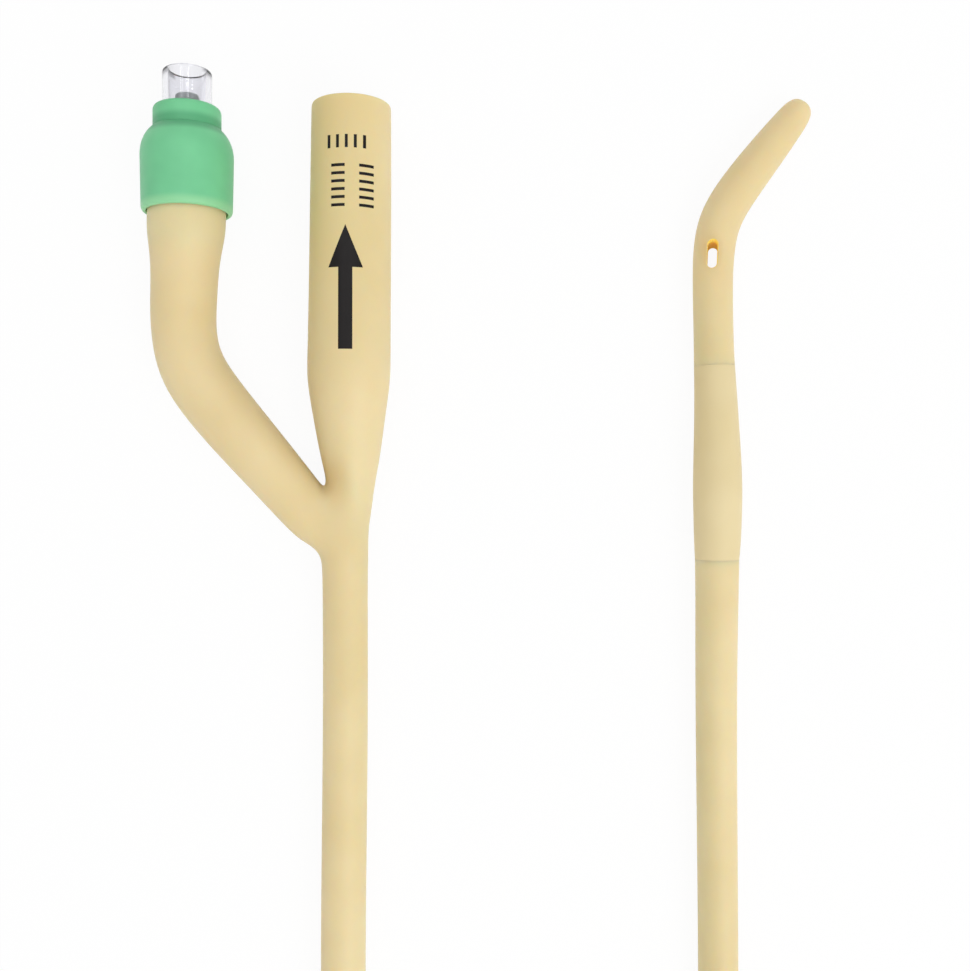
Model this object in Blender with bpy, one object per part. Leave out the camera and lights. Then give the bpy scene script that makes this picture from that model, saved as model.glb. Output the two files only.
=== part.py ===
"""Two-way balloon catheter with a bent tip, laid flat in a hairpin. Metres, +Z up.

The layout is drawn from the fork, where the inflation arm's axis meets the shaft's axis. The drain
funnel points along +Y, the inflation arm leans to -X, and the tip end comes back up at +X. The last
step moves everything so that the origin is under the middle of the part, on the surface it lies on.
"""

import math

import bmesh
import bpy
import numpy as np
from mathutils import Matrix, Vector

# Tube
french_size = 14  # outside diameter in thirds of a millimetre
overall_length = 0.400  # along the tube, from the drain mouth to the tip
fork_shaft_radius = 0.00264  # the shaft is stouter beside the fork
stout_length = 0.0450  # of that stouter stretch
head_radius = 0.00232  # the shaft between the balloon and the tip
elbow_radius = 0.00248  # at the tip's bend
leg_spacing = 0.0440  # between the two legs of the hairpin
drain_leg_drift = (  # height above the fork, and how far the drain leg strays sideways there
    (-0.0010, 0.00008),
    (-0.0120, 0.00004),
    (-0.0420, -0.00020),
)
tip_leg_drift = (  # the same, on the leg that ends in the tip; the last is beside the eyes
    (-0.0420, 0.00020),
    (-0.0200, -0.00010),
    (-0.0040, 0.00005),
    (0.0080, -0.00005),
    (0.0225, -0.00024),
    (0.0351, -0.00035),
)

# Drain funnel
funnel_radius = 0.00473
funnel_mouth_radius = 0.00460
funnel_brim_radius = 0.00484  # where the straight part turns into the taper
funnel_straight = 0.0305  # mouth to brim
funnel_reach = 0.0523  # mouth to fork
funnel_bore_radius = 0.0036
funnel_bore_depth = 0.0290
funnel_edge = 0.00045
funnel_lean = 0.00100  # the funnel stands this far to the inner side at its mouth
funnel_foot_radius = 0.00264  # where the taper meets the fork

# Lumens
lumen_radius = 0.00125
lumen_offset = 0.0004  # the drain lumen lies towards the inside of the hairpin
inflation_radius = 0.00033
inflation_offset = 0.0015  # the inflation lumen lies towards the outside
socket_cone = 0.0035  # length of the cone from the arm's socket to the inflation lumen

# Inflation arm
arm_angle = math.radians(40.2)  # between the arm's slanted part and the funnel
arm_spacing = 0.01890  # between the arm's straight part and the fork
arm_bend_radius = 0.0115
arm_radius = 0.00372
arm_elbow_radius = 0.00382
arm_root_radius = 0.0032
arm_end_radius = 0.00446  # where the arm is stretched over the valve
arm_flare = 0.0062  # length over which the stretch dies away below the boot
arm_drift = (  # share of the way down from the spigot to the bend, then of the drift and of the drop
    (0.0, 0.22, 0.14),
    (0.45, 0.50, 0.58),
    (1.0, 0.84, 1.0),
)

# Fork
crotch_height = 0.0074  # of the cleft between funnel and arm, above the fork
crotch_side = 0.0025  # of the cleft, beside the shaft's axis
valley_height = 0.0047
valley_side = 0.0021
valley_share = 0.86  # depth of the valley between the branches, as a share of the shaft's radius
fork_thickness = 0.00282  # half of it, where the branches have joined
fork_sections = (  # side and height of the middle, half width and tilt: arm's root, heel, neck
    (-0.00128, 0.00248, 0.00415, math.radians(10)),
    (-0.00050, 0.00110, 0.00325, math.radians(4)),
    (0.00003, -0.00030, 0.00272, 0.0),
)
branch_base = 0.0066  # along the arm, from the fork to where its round part starts
funnel_base = 0.0052  # along the funnel, the same

# Balloon
sleeve_length = 0.0229
sleeve_from_tip = 0.0348
sleeve_wall = 0.00036
sleeve_fit = 0.00012  # between the sleeve and the waist where it is close
balloon_radius = 0.00285
sleeve_near_radius = 0.00238  # at the end beside the tip
sleeve_far_radius = 0.00257  # at the end beside the fork
sleeve_slack = 0.00010  # the empty balloon hangs to the outer side
waist_radius = 0.00204
waist_gap = 0.00030  # between the sleeve's ends and the shaft
waist_step = 0.00012  # length over which the shaft steps down to the waist
port_radius = 0.00030

# Drainage eyes
eye_length = 0.0033
eye_width = 0.0011
eye_from_tip = 0.0218
eye_turn = math.radians(12)  # the pair is turned a little about the tube

# Bent tip
tip_angle = math.radians(37.8)
tip_bend_radius = 0.0110
tip_length = 0.0140  # straight part beyond the bend
tip_radius = 0.00193

# Inflation valve
boot_radius = 0.00528
boot_lip_radius = 0.00517
boot_length = 0.0124
boot_lip_length = 0.0006  # over which the lip rounds in to its end
boot_bore_radius = 0.00477
boot_wall_at_roof = 0.0042
collar_radius = 0.00386
collar_length = 0.0025
collar_edge = 0.0006
shoulder_end = 0.0058  # below the collar's top, where the shoulder reaches the full radius
shoulder_swell = 0.0012  # below the collar, where the shoulder's curve turns along the axis
valve_side = 0.01795  # of the valve's axis, beside the fork
luer_rim_height = 0.0561  # above the fork
luer_above_collar = 0.0043
luer_outer_radius = 0.00279
luer_mouth_radius = 0.00213
luer_taper = 0.03  # radius lost for each unit of depth
luer_depth = 0.0076
luer_edge = 0.00035
flange_radius = 0.0043
flange_thickness = 0.0008
spigot_radius = 0.00305
spigot_length = 0.0094
barb_radius = 0.00330
barb_count = 2
barb_pitch = 0.0026
barb_rise = 0.0009
chamber_radius = 0.0024
throat_radius = 0.00165
throat_length = 0.0007
retainer_radius = 0.0017
retainer_length = 0.0007
plunger_radius = 0.00135
plunger_depth = 0.0029  # of the plunger's top below the luer rim
small_edge = 0.0002  # chamfer on the plunger and the spigot
head_flange_radius = 0.00205
head_flange_thickness = 0.0006
guide_radius = 0.00075
guide_length = 0.0034
slot_width = 0.0006
slot_depth = 0.0011
seal_ring_radius = 0.00172
seal_wire_radius = 0.00038
spring_radius = 0.0013
spring_wire_radius = 0.00018
spring_turns = 6
seat_radius = 0.0021
seat_thickness = 0.0009
seat_bore_radius = 0.0007
seat_collar_radius = 0.00095
seat_collar_height = 0.0004
fit_gap = 0.0003  # between pieces that touch
cutter_margin = 0.002  # by which a cutter runs past the face that it opens

# Fineness
ring_sides = 12  # the fork's split rings need this count
surface_levels = 1
ring_step = 0.014  # between the shaft's rings on the legs
turn_ring_step = 0.0085  # and round the hairpin
lumen_step = 0.030  # between the points of a lumen on the legs
turn_lumen_step = 0.0055  # and round the hairpin
round_sides = 24
small_sides = 16
seal_sides = 20
wire_steps = 11  # for each turn of the spring

shaft_radius = french_size / 6000
UP = np.array([0.0, 0.0, 1.0])


def natural_spline(points, steps=24):
    """Points along the natural cubic spline through the given ones, spaced by chord length."""
    points = np.asarray(points, float)
    chord = np.linalg.norm(np.diff(points, axis=0), axis=1)
    count = len(points)
    system = np.eye(count)
    bend = np.zeros_like(points)
    for i in range(1, count - 1):
        before, after = chord[i - 1], chord[i]
        system[i, i - 1 : i + 2] = before, 2 * (before + after), after
        bend[i] = 6 * ((points[i + 1] - points[i]) / after - (points[i] - points[i - 1]) / before)
    second = np.linalg.solve(system, bend)
    dense = []
    for i in range(count - 1):
        for t in np.linspace(0, 1, steps, endpoint=False):
            a = 1 - t
            lift = (a**3 - a) * second[i] + (t**3 - t) * second[i + 1]
            dense.append(a * points[i] + t * points[i + 1] + lift * chord[i] ** 2 / 6)
    dense.append(points[-1])
    return np.array(dense)


def lengths_along(points):
    return np.concatenate([[0.0], np.cumsum(np.linalg.norm(np.diff(points, axis=0), axis=1))])


class Route:
    """A tube's axis, with the distance along it at each of its points."""

    def __init__(self, points):
        self.points = np.asarray(points, float)
        self.distance = lengths_along(self.points[:, :2])
        self.length = self.distance[-1]

    def at(self, distance):
        return np.array([np.interp(distance, self.distance, axis) for axis in self.points.T])

    def heading(self, distance):
        """Level direction of travel at this distance."""
        reach = 0.0004
        low, high = max(distance - reach, 0.0), min(distance + reach, self.length)
        step = (self.at(high) - self.at(low))[:2]
        return step / np.linalg.norm(step)

    def side(self, distance):
        """Level direction to the right of travel, which is the outside of the hairpin."""
        x, y = self.heading(distance)
        return np.array([y, -x, 0.0])


def hairpin(start, width, samples=9):
    """Points round a half turn whose curvature swells from nothing and dies away again."""
    t = np.linspace(0, 1, 2001)
    turned = math.pi * (t - np.sin(2 * math.pi * t) / (2 * math.pi))
    steps = np.stack([np.sin(turned), -np.cos(turned)], axis=1)
    path = np.concatenate([[[0.0, 0.0]], np.cumsum((steps[1:] + steps[:-1]) / 2, axis=0)])
    path *= width / path[-1, 0]
    path[:, 1] -= path[-1, 1] * t
    picked = np.linspace(0, len(t) - 1, samples + 2).astype(int)
    return [tuple(np.array(start) + path[i]) for i in picked]


def arc(centre, radius, first, last, samples=4):
    angles = np.linspace(first, last, samples)
    return [(centre[0] + radius * math.cos(a), centre[1] + radius * math.sin(a)) for a in angles]


def main_points(hairpin_y):
    """The catheter's axis in plan, from the drain mouth round the hairpin to the tip."""
    funnel = [
        (funnel_lean, funnel_reach),
        (0.92 * funnel_lean, 0.74 * funnel_reach),
        (0.76 * funnel_lean, 0.45 * funnel_reach),
        (0.70 * funnel_lean, 0.28 * funnel_reach),
        (0.72 * funnel_lean, 0.165 * funnel_reach),
    ]
    drain_leg = [(drift, height) for height, drift in drain_leg_drift]
    turn = hairpin((0.0, hairpin_y), leg_spacing)
    tip_leg = [(leg_spacing + drift, height) for height, drift in tip_leg_drift]
    head_x, eye_y = tip_leg.pop()
    bend_y = eye_y + eye_from_tip - tip_length - tip_bend_radius * tip_angle
    bend = arc((head_x + tip_bend_radius, bend_y), tip_bend_radius, math.pi, math.pi - tip_angle)
    along = np.array([math.sin(tip_angle), math.cos(tip_angle)])
    straight = [tuple(np.array(bend[-1]) + along * share * tip_length) for share in (0.5, 1.0)]
    return funnel + drain_leg + turn + tip_leg + bend + straight


def main_route():
    """The axis at its stated length. The legs take up what the length needs."""
    hairpin_y = -overall_length / 4
    for _ in range(5):
        plan = natural_spline(main_points(hairpin_y))
        hairpin_y += (lengths_along(plan)[-1] - overall_length) / 2
    distance = lengths_along(plan)
    stations = np.array(outer_stations())
    resting = np.interp(distance, stations[:, 0], stations[:, 1])
    return Route(np.column_stack([plan, resting]))


def from_tip(distance):
    return overall_length - distance


def tapered(share):
    """Radius on the funnel's taper that keeps this share of what is lost from brim to foot."""
    return funnel_foot_radius + share * (funnel_brim_radius - funnel_foot_radius)


def funnel_stations():
    """Distance from the drain mouth, and radius, down to the fork."""
    taper = funnel_reach - funnel_straight
    return [
        (1.2 * funnel_edge, funnel_mouth_radius),
        (0.30 * funnel_straight, 0.3 * funnel_mouth_radius + 0.7 * funnel_radius),
        (0.62 * funnel_straight, funnel_radius),
        (0.93 * funnel_straight, 0.5 * (funnel_radius + funnel_brim_radius)),
        (funnel_straight + 0.05 * taper, funnel_brim_radius),
        (funnel_straight + 0.17 * taper, tapered(0.84)),
        (funnel_straight + 0.33 * taper, tapered(0.60)),
        (funnel_straight + 0.50 * taper, tapered(0.33)),
        (funnel_straight + 0.61 * taper, tapered(0.08)),
    ]


def sleeve_low():
    return from_tip(sleeve_from_tip + sleeve_length)


def shaft_stations():
    """Distance from the drain mouth, and radius, from below the fork to the balloon."""
    first, last = funnel_reach + 1.1 * fork_shaft_radius, sleeve_low()
    return [
        (first, fork_shaft_radius),
        (first + stout_length, fork_shaft_radius),
        (first + 1.8 * stout_length, 0.5 * (fork_shaft_radius + shaft_radius)),
        (last - 1.8 * sleeve_length, shaft_radius),
        (last - 0.7 * sleeve_length, 0.7 * shaft_radius + 0.3 * sleeve_far_radius),
        (last - 0.2 * sleeve_length, 0.3 * shaft_radius + 0.7 * sleeve_far_radius),
        (last - 4 * waist_step, sleeve_far_radius),
    ]


def head_stations():
    """Distance from the drain mouth, and radius, from the balloon to the end of the tip."""
    bend_length = tip_bend_radius * tip_angle
    return [
        (from_tip(sleeve_from_tip - waist_step), head_radius),
        (from_tip(sleeve_from_tip - 6 * waist_step), head_radius),
        (from_tip(eye_from_tip + eye_length), head_radius),
        (from_tip(eye_from_tip - 0.2 * eye_length), 0.4 * head_radius + 0.6 * elbow_radius),
        (from_tip(tip_length + 0.55 * bend_length), elbow_radius),
        (from_tip(tip_length + 0.05 * bend_length), elbow_radius),
        (from_tip(0.55 * tip_length), 0.6 * elbow_radius + 0.4 * tip_radius),
        (from_tip(1.3 * tip_radius), tip_radius),
    ]


def sleeve_stations():
    """Share of the sleeve's length from its end beside the tip, and outside radius."""
    return [
        (0.0, sleeve_near_radius),
        (0.12, 0.83 * sleeve_near_radius + 0.17 * balloon_radius),
        (0.36, 0.40 * sleeve_near_radius + 0.60 * balloon_radius),
        (0.54, 0.08 * sleeve_near_radius + 0.92 * balloon_radius),
        (0.66, balloon_radius),
        (0.78, 0.18 * sleeve_far_radius + 0.82 * balloon_radius),
        (0.90, 0.5 * (balloon_radius + sleeve_far_radius)),
        (1.0, sleeve_far_radius),
    ]


def outer_stations():
    """Radius of what the tube rests on, which is the height of its axis."""
    sleeve = [
        (from_tip(sleeve_from_tip + share * sleeve_length), radius)
        for share, radius in reversed(sleeve_stations())
    ]
    return funnel_stations() + shaft_stations() + sleeve + head_stations()


def arm_route():
    """The arm's axis from the valve to the fork. It comes down to the surface below the spigot."""
    tangent = arm_bend_radius * math.tan(arm_angle / 2)
    bend_y = arm_spacing / math.tan(arm_angle) + tangent
    centre = (-arm_spacing + arm_bend_radius, bend_y)
    straight_y = bend_y + 0.4 * arm_radius
    points = [(-valve_side, arm_end_y(), boot_radius), (-valve_side, boot_lip_y(), boot_radius)]
    for way, drift, drop in arm_drift:
        x = -valve_side - drift * (arm_spacing - valve_side)
        y = spigot_end() + way * (straight_y - spigot_end())
        points.append((x, y, boot_radius - drop * (boot_radius - 1.1 * arm_radius)))
    for x, y in arc(centre, arm_bend_radius, math.pi, math.pi + arm_angle)[1:]:
        points.append((x, y, arm_elbow_radius))
    slant = np.array([-math.sin(arm_angle), math.cos(arm_angle)])
    slant_length = arm_spacing / math.sin(arm_angle) - tangent
    for share, height in ((0.66, arm_radius), (0.33, arm_root_radius), (0.0, fork_shaft_radius)):
        points.append((*(slant * slant_length * share), height))
    return Route(natural_spline(points))


def arm_end_y():
    return flange_top() - flange_thickness - fit_gap


def boot_lip_y():
    return collar_top() - boot_length


def arm_stations(route):
    """Distance from the arm's end inside the boot, and radius."""
    lip = arm_end_y() - boot_lip_y()
    tangent = arm_bend_radius * math.tan(arm_angle / 2)
    slant = route.length - arm_spacing / math.sin(arm_angle) + tangent
    elbow = slant - arm_bend_radius * arm_angle
    straight = elbow - lip - arm_flare
    root = route.length - branch_base

    def flared(share):
        return arm_radius + share * (arm_end_radius - arm_radius)

    return [
        (2 * funnel_edge, arm_end_radius),
        (lip + 0.12 * arm_flare, arm_end_radius),
        (lip + 0.40 * arm_flare, flared(0.88)),
        (lip + 0.62 * arm_flare, flared(0.56)),
        (lip + arm_flare, flared(0.14)),
        (lip + arm_flare + 0.5 * straight, 0.5 * (arm_radius + arm_elbow_radius)),
        (elbow, arm_radius),
        (0.5 * (elbow + slant), arm_elbow_radius),
        (slant, arm_elbow_radius),
        (0.66 * slant + 0.34 * root, 0.9 * arm_radius + 0.1 * arm_root_radius),
        (0.40 * slant + 0.60 * root, 0.5 * arm_radius + 0.5 * arm_root_radius),
        (0.14 * slant + 0.86 * root, 0.1 * arm_radius + 0.9 * arm_root_radius),
    ]


def cage_scale(levels):
    """Share of its radius that a ring keeps when it is smoothed this many times."""
    share, sides = 1.0, ring_sides
    for _ in range(levels):
        share *= (3 + math.cos(2 * math.pi / sides)) / 4
        sides *= 2
    return share


def ring_points(centre, side, across, up, sides=ring_sides):
    """A ring whose first point is to the right of travel and whose quarter point is on top."""
    angles = 2 * math.pi * np.arange(sides) / sides
    return [centre + side * across * math.cos(a) + UP * up * math.sin(a) for a in angles]


def add_ring(shape, points):
    return [shape.verts.new(point) for point in points]


def bridge(shape, first, second):
    count = len(first)
    for i in range(count):
        j = (i + 1) % count
        shape.faces.new((first[i], first[j], second[j], second[i]))


def finish_mesh(name, shape, material, sharp=math.radians(40)):
    bmesh.ops.recalc_face_normals(shape, faces=shape.faces)
    mesh = bpy.data.meshes.new(name)
    shape.to_mesh(mesh)
    shape.free()
    mesh.shade_smooth()
    mesh.set_sharp_from_angle(angle=sharp)
    mesh.materials.append(material)
    obj = bpy.data.objects.new(name, mesh)
    bpy.context.scene.collection.objects.link(obj)
    return obj


def make_material(name, colour, roughness, metallic=0.0, see_through=0.0):
    material = bpy.data.materials.new(name)
    material.use_nodes = True
    shader = material.node_tree.nodes["Principled BSDF"]
    shader.inputs["Base Color"].default_value = (*colour, 1.0)
    shader.inputs["Roughness"].default_value = roughness
    shader.inputs["Metallic"].default_value = metallic
    shader.inputs["Transmission Weight"].default_value = see_through
    return material


def loft(name, route, stations, offset, sides, material):
    """A closed tube that follows a route at an offset to its right."""
    shape = bmesh.new()
    rings = []
    for distance, radius in stations:
        inside = min(max(distance, 0.0), route.length)
        side = route.side(inside)
        centre = route.at(inside) + side * offset
        centre[:2] += route.heading(inside) * (distance - inside)
        rings.append(add_ring(shape, ring_points(centre, side, radius, radius, sides)))
    for first, second in zip(rings, rings[1:]):
        bridge(shape, first, second)
    shape.faces.new(rings[0])
    shape.faces.new(rings[-1])
    return finish_mesh(name, shape, material)


def as_cutter(obj):
    obj.hide_render = True
    obj.display_type = "WIRE"
    return obj


def cut(obj, cutter, label):
    modifier = obj.modifiers.new(label, "BOOLEAN")
    modifier.operation = "DIFFERENCE"
    modifier.object = cutter


def spaced(first, last, step):
    """Distances from first to last in equal steps of about this length."""
    return list(np.linspace(first, last, max(2, round((last - first) / step) + 1)))


def hairpin_span(route):
    """The distances between which the tube heads more than ten degrees away from the legs."""
    along_legs = math.cos(math.radians(10))
    shaft = spaced(funnel_reach, sleeve_low(), 0.002)
    turning = [d for d in shaft if abs(route.heading(d)[1]) < along_legs]
    return min(turning), max(turning)


def body_cage(route, arm):
    """The moulded body as a coarse cage: two branch tubes, a split ring at the fork, and the shaft."""
    shape = bmesh.new()
    grow = 1 / cage_scale(surface_levels)

    def tube(on, stations):
        rings = []
        for distance, radius in stations:
            points = ring_points(on.at(distance), on.side(distance), radius * grow, radius * grow)
            rings.append(add_ring(shape, points))
        return rings

    def capped(on, radius):
        """A flat end with a small round edge: an inner ring, then the edge ring in the same plane."""
        inner = tube(on, [(0.0, radius - 1.3 * funnel_edge)])
        edge = tube(on, [(0.0, radius)])
        shape.faces.new(inner[0])
        return inner + edge

    drain = capped(route, funnel_mouth_radius) + tube(route, funnel_stations())
    branch = capped(arm, arm_end_radius) + tube(arm, arm_stations(arm))
    fork = fork_rings(shape, route, arm, grow)
    for rings, base in ((drain, fork["funnel_base"]), (branch, fork["arm_base"])):
        for first, second in zip(rings, rings[1:] + [base]):
            bridge(shape, first, second)

    nose = [(from_tip(0.45 * tip_radius), 0.86 * tip_radius), (from_tip(0.0), 0.5 * tip_radius)]
    lower = [fork["split"]] + fork["joined"] + tube(route, body_stations(route) + nose)
    for first, second in zip(lower, lower[1:]):
        bridge(shape, first, second)
    shape.faces.new(lower[-1])
    return shape


def body_stations(route):
    """Rings of the shaft from the fork to the tip, with the waist that the balloon's sleeve lies in."""
    turn_start, turn_end = hairpin_span(route)
    named = shaft_stations()
    distances, radii = zip(*named)
    plain = spaced(distances[0], turn_start, ring_step)
    plain += spaced(turn_start, turn_end, turn_ring_step)[1:]
    plain += spaced(turn_end, distances[-4], ring_step)[1:]
    shaft = [(d, np.interp(d, distances, radii)) for d in plain] + named[-3:]
    low, high = sleeve_low(), from_tip(sleeve_from_tip)
    waist = [
        (low - waist_step, sleeve_far_radius),
        (low, waist_radius),
        (low + 2 * waist_step, waist_radius),
        (low + 0.33 * sleeve_length, waist_radius),
        (low + 0.66 * sleeve_length, waist_radius),
        (high - 2 * waist_step, waist_radius),
        (high, waist_radius),
    ]
    return shaft + waist + head_stations()


def fork_rings(shape, route, arm, grow):
    """The split ring, the rings below it, and the two base rings that share the cleft."""
    arm_at = arm.length - branch_base
    funnel_at = funnel_reach - funnel_base
    height = 0.5 * (fork_shaft_radius + arm_root_radius)
    valley = valley_share * fork_shaft_radius * grow
    valley_point = np.array([-valley_side, valley_height, height])
    crotch_point = np.array([-crotch_side, crotch_height, height])

    branches = (
        (arm.at(arm_at), arm.side(arm_at), arm_root_radius, (0, 1, 2, 11, 10)),
        (route.at(funnel_at), -route.side(funnel_at), funnel_foot_radius, (6, 5, 4, 7, 8)),
    )
    outer = {3: valley_point + UP * valley, 9: valley_point - UP * valley}
    for centre, side, radius, places in branches:
        for place, angle in zip(places, (0, 37, 74, -37, -74)):
            a = math.radians(angle)
            outer[place] = centre + (side * math.cos(a) + UP * math.sin(a)) * radius * grow
    split = add_ring(shape, [outer[i] for i in range(ring_sides)])

    cleft = []
    for angle in (60, 30, 0, -30, -60):
        a = math.radians(angle)
        point = valley_point + (crotch_point - valley_point) * math.cos(a) + UP * valley * math.sin(a)
        cleft.append(shape.verts.new(point))

    joined = []
    for side, up_shaft, half_width, tilt in fork_sections:
        centre = np.array([side, up_shaft, fork_thickness])
        across = np.array([-math.cos(tilt), -math.sin(tilt), 0.0])
        points = ring_points(centre, across, half_width * grow, fork_thickness * grow)
        joined.append(add_ring(shape, points))
    top, bottom = split[3], split[9]
    return {
        "split": split,
        "joined": joined,
        "arm_base": split[:3] + [top] + cleft + [bottom] + split[10:],
        "funnel_base": [cleft[2], cleft[1], cleft[0], top] + split[4:9] + [bottom, cleft[4], cleft[3]],
    }


def inflation_route(route, arm):
    """Down the arm's middle, across the fork, and along the shaft's outer side to the balloon."""
    turn_start, turn_end = hairpin_span(route)
    port = from_tip(sleeve_from_tip + 0.5 * sleeve_length)
    cone_foot = socket_depth() + socket_cone
    past_fork = 1.5 * fork_shaft_radius
    in_arm = spaced(cone_foot, arm.length - 2 * past_fork, turn_lumen_step)
    in_shaft = spaced(funnel_reach + past_fork, turn_start, lumen_step)
    in_shaft += spaced(turn_start, turn_end, turn_lumen_step)[1:]
    in_shaft += spaced(turn_end, port + 4 * port_radius, 0.5 * lumen_step)[1:]
    points = [tuple(arm.at(d)) for d in in_arm]
    return Route(points + [tuple(route.at(d) + route.side(d) * inflation_offset) for d in in_shaft])


def socket_depth():
    """Depth of the arm's socket, which takes the valve's spigot."""
    return arm_end_y() - spigot_end() + 2 * fit_gap


def make_body(route, arm, latex):
    body = finish_mesh("catheter_body", body_cage(route, arm), latex, math.radians(60))
    smooth = body.modifiers.new("smooth skin", "SUBSURF")
    smooth.levels = surface_levels
    smooth.render_levels = surface_levels
    smooth.use_limit_surface = False

    channel = inflation_route(route, arm)
    channel_stations = [(d, inflation_radius) for d in channel.distance]
    cutters = {
        "drain bore": loft("drain_bore_cutter", route, drain_bore(), 0.0, ring_sides, latex),
        "drain lumen": loft("drain_lumen_cutter", route, drain_lumen(route), -lumen_offset, 10, latex),
        "arm socket": loft("arm_socket_cutter", arm, arm_socket(), 0.0, small_sides, latex),
        "inflation lumen": loft("inflation_lumen_cutter", channel, channel_stations, 0.0, 6, latex),
        "eyes": eye_cutter(route, latex),
        "inflation port": port_cutter(route, latex),
    }
    for label, cutter in cutters.items():
        cut(body, as_cutter(cutter), label)
    return body


def drain_bore():
    """The funnel's bore, and the taper from it down to the drain lumen."""
    return [
        (-cutter_margin, funnel_bore_radius),
        (funnel_bore_depth, 0.92 * funnel_bore_radius),
        (0.75 * funnel_bore_depth + 0.25 * funnel_reach, 0.72 * funnel_bore_radius),
        (0.25 * funnel_bore_depth + 0.75 * funnel_reach, 1.2 * lumen_radius),
        (funnel_reach - lumen_radius, 0.8 * lumen_radius),
    ]


def drain_lumen(route):
    """The drain lumen, from inside the bore's taper to just past the eyes."""
    turn_start, turn_end = hairpin_span(route)
    distances = spaced(funnel_reach - 4 * lumen_radius, turn_start, lumen_step)
    distances += spaced(turn_start, turn_end, turn_lumen_step)[1:]
    distances += spaced(turn_end, sleeve_low(), lumen_step)[1:]
    distances += spaced(from_tip(sleeve_from_tip), from_tip(eye_from_tip - eye_length), 0.3 * lumen_step)
    return [(d, lumen_radius) for d in distances]


def arm_socket():
    """The arm's socket, and the cone from it down to the inflation lumen."""
    radius, depth = barb_radius + fit_gap, socket_depth()
    return [
        (-cutter_margin, radius),
        (depth, radius),
        (depth + 0.6 * socket_cone, 0.45 * radius),
        (depth + 1.2 * socket_cone, 1.5 * inflation_radius),
    ]


def eye_cutter(route, material):
    """A slot with round ends through both walls."""
    distance = from_tip(eye_from_tip)
    side = Vector(route.side(distance))
    centre = Vector(route.at(distance)) - side * lumen_offset * 0.25
    ahead = Vector((*route.heading(distance), 0.0))
    half, round_radius = eye_length / 2 - eye_width / 2, eye_width / 2
    turn = Matrix.Rotation(-eye_turn, 3, ahead)
    up, across = turn @ Vector(UP) * 2 * shaft_radius, turn @ side
    outline = []
    for end, first in ((half, 0.0), (-half, math.pi)):
        for a in np.linspace(first, first + math.pi, 7):
            outline.append(across * round_radius * math.cos(a) + ahead * (end + round_radius * math.sin(a)))
    shape = bmesh.new()
    low = add_ring(shape, [centre + point - up for point in outline])
    high = add_ring(shape, [centre + point + up for point in outline])
    bridge(shape, low, high)
    shape.faces.new(low)
    shape.faces.new(high)
    return finish_mesh("eye_cutter", shape, material)


def port_cutter(route, material):
    """A small hole from the inflation lumen out to the space under the sleeve."""
    distance = from_tip(sleeve_from_tip + 0.5 * sleeve_length)
    side = route.side(distance)
    start = route.at(distance) + side * inflation_offset
    heading = np.array([*route.heading(distance), 0.0])
    shape = bmesh.new()
    rings = []
    for reach in (0.0, waist_radius):
        centre = start + side * reach
        angles = 2 * math.pi * (np.arange(8) + 0.5) / 8
        points = [centre + (heading * math.cos(a) + UP * math.sin(a)) * port_radius for a in angles]
        rings.append(add_ring(shape, points))
    bridge(shape, *rings)
    shape.faces.new(rings[0])
    shape.faces.new(rings[1])
    return finish_mesh("port_cutter", shape, material)


def make_sleeve(route, latex):
    """The empty balloon: a thin sleeve over the waist, full in the middle and close at its ends."""
    shape = bmesh.new()
    outer, inner = [], []
    inset = waist_gap / sleeve_length
    for share, radius in sleeve_stations():
        kept = min(max(share, inset), 1 - inset)
        distance = from_tip(sleeve_from_tip + kept * sleeve_length)
        side = route.side(distance)
        slack = sleeve_slack * math.sin(math.pi * share)
        centre = route.at(distance) + side * slack
        hollow = max(radius - sleeve_wall, waist_radius + sleeve_fit + slack)
        outer.append(add_ring(shape, ring_points(centre, side, radius, radius, round_sides)))
        inner.append(add_ring(shape, ring_points(centre, side, hollow, hollow, round_sides)))
    for rings in (outer, inner):
        for first, second in zip(rings, rings[1:]):
            bridge(shape, first, second)
    bridge(shape, outer[0], inner[0])
    bridge(shape, outer[-1], inner[-1])
    return finish_mesh("balloon_sleeve", shape, latex)


def curve_points(first, control, last, steps):
    """Points on a curve that leaves first towards control and reaches last from it."""
    first, control, last = (np.array(p) for p in (first, control, last))
    return [
        tuple((1 - t) ** 2 * first + 2 * t * (1 - t) * control + t**2 * last)
        for t in np.linspace(0, 1, steps)
    ]


def turned(name, profile, material, sides):
    """A piece turned about its own Y axis from a closed profile of (radius, height) points."""
    shape = bmesh.new()
    points = [shape.verts.new((radius, height, 0.0)) for radius, height in profile]
    edges = [shape.edges.new((a, b)) for a, b in zip(points, points[1:] + points[:1])]
    bmesh.ops.spin(
        shape,
        geom=points + edges,
        cent=(0.0, 0.0, 0.0),
        axis=(0.0, 1.0, 0.0),
        angle=2 * math.pi,
        steps=sides,
        use_merge=True,
    )
    bmesh.ops.remove_doubles(shape, verts=shape.verts, dist=1e-6)
    return finish_mesh(name, shape, material)


def collar_top():
    return luer_rim_height - luer_above_collar


def boot_roof():
    return collar_top() - boot_wall_at_roof


def flange_top():
    return boot_roof() - fit_gap


def spigot_end():
    return flange_top() - flange_thickness - spigot_length


def seat_cone_top():
    return luer_rim_height - luer_depth - throat_length


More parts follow.
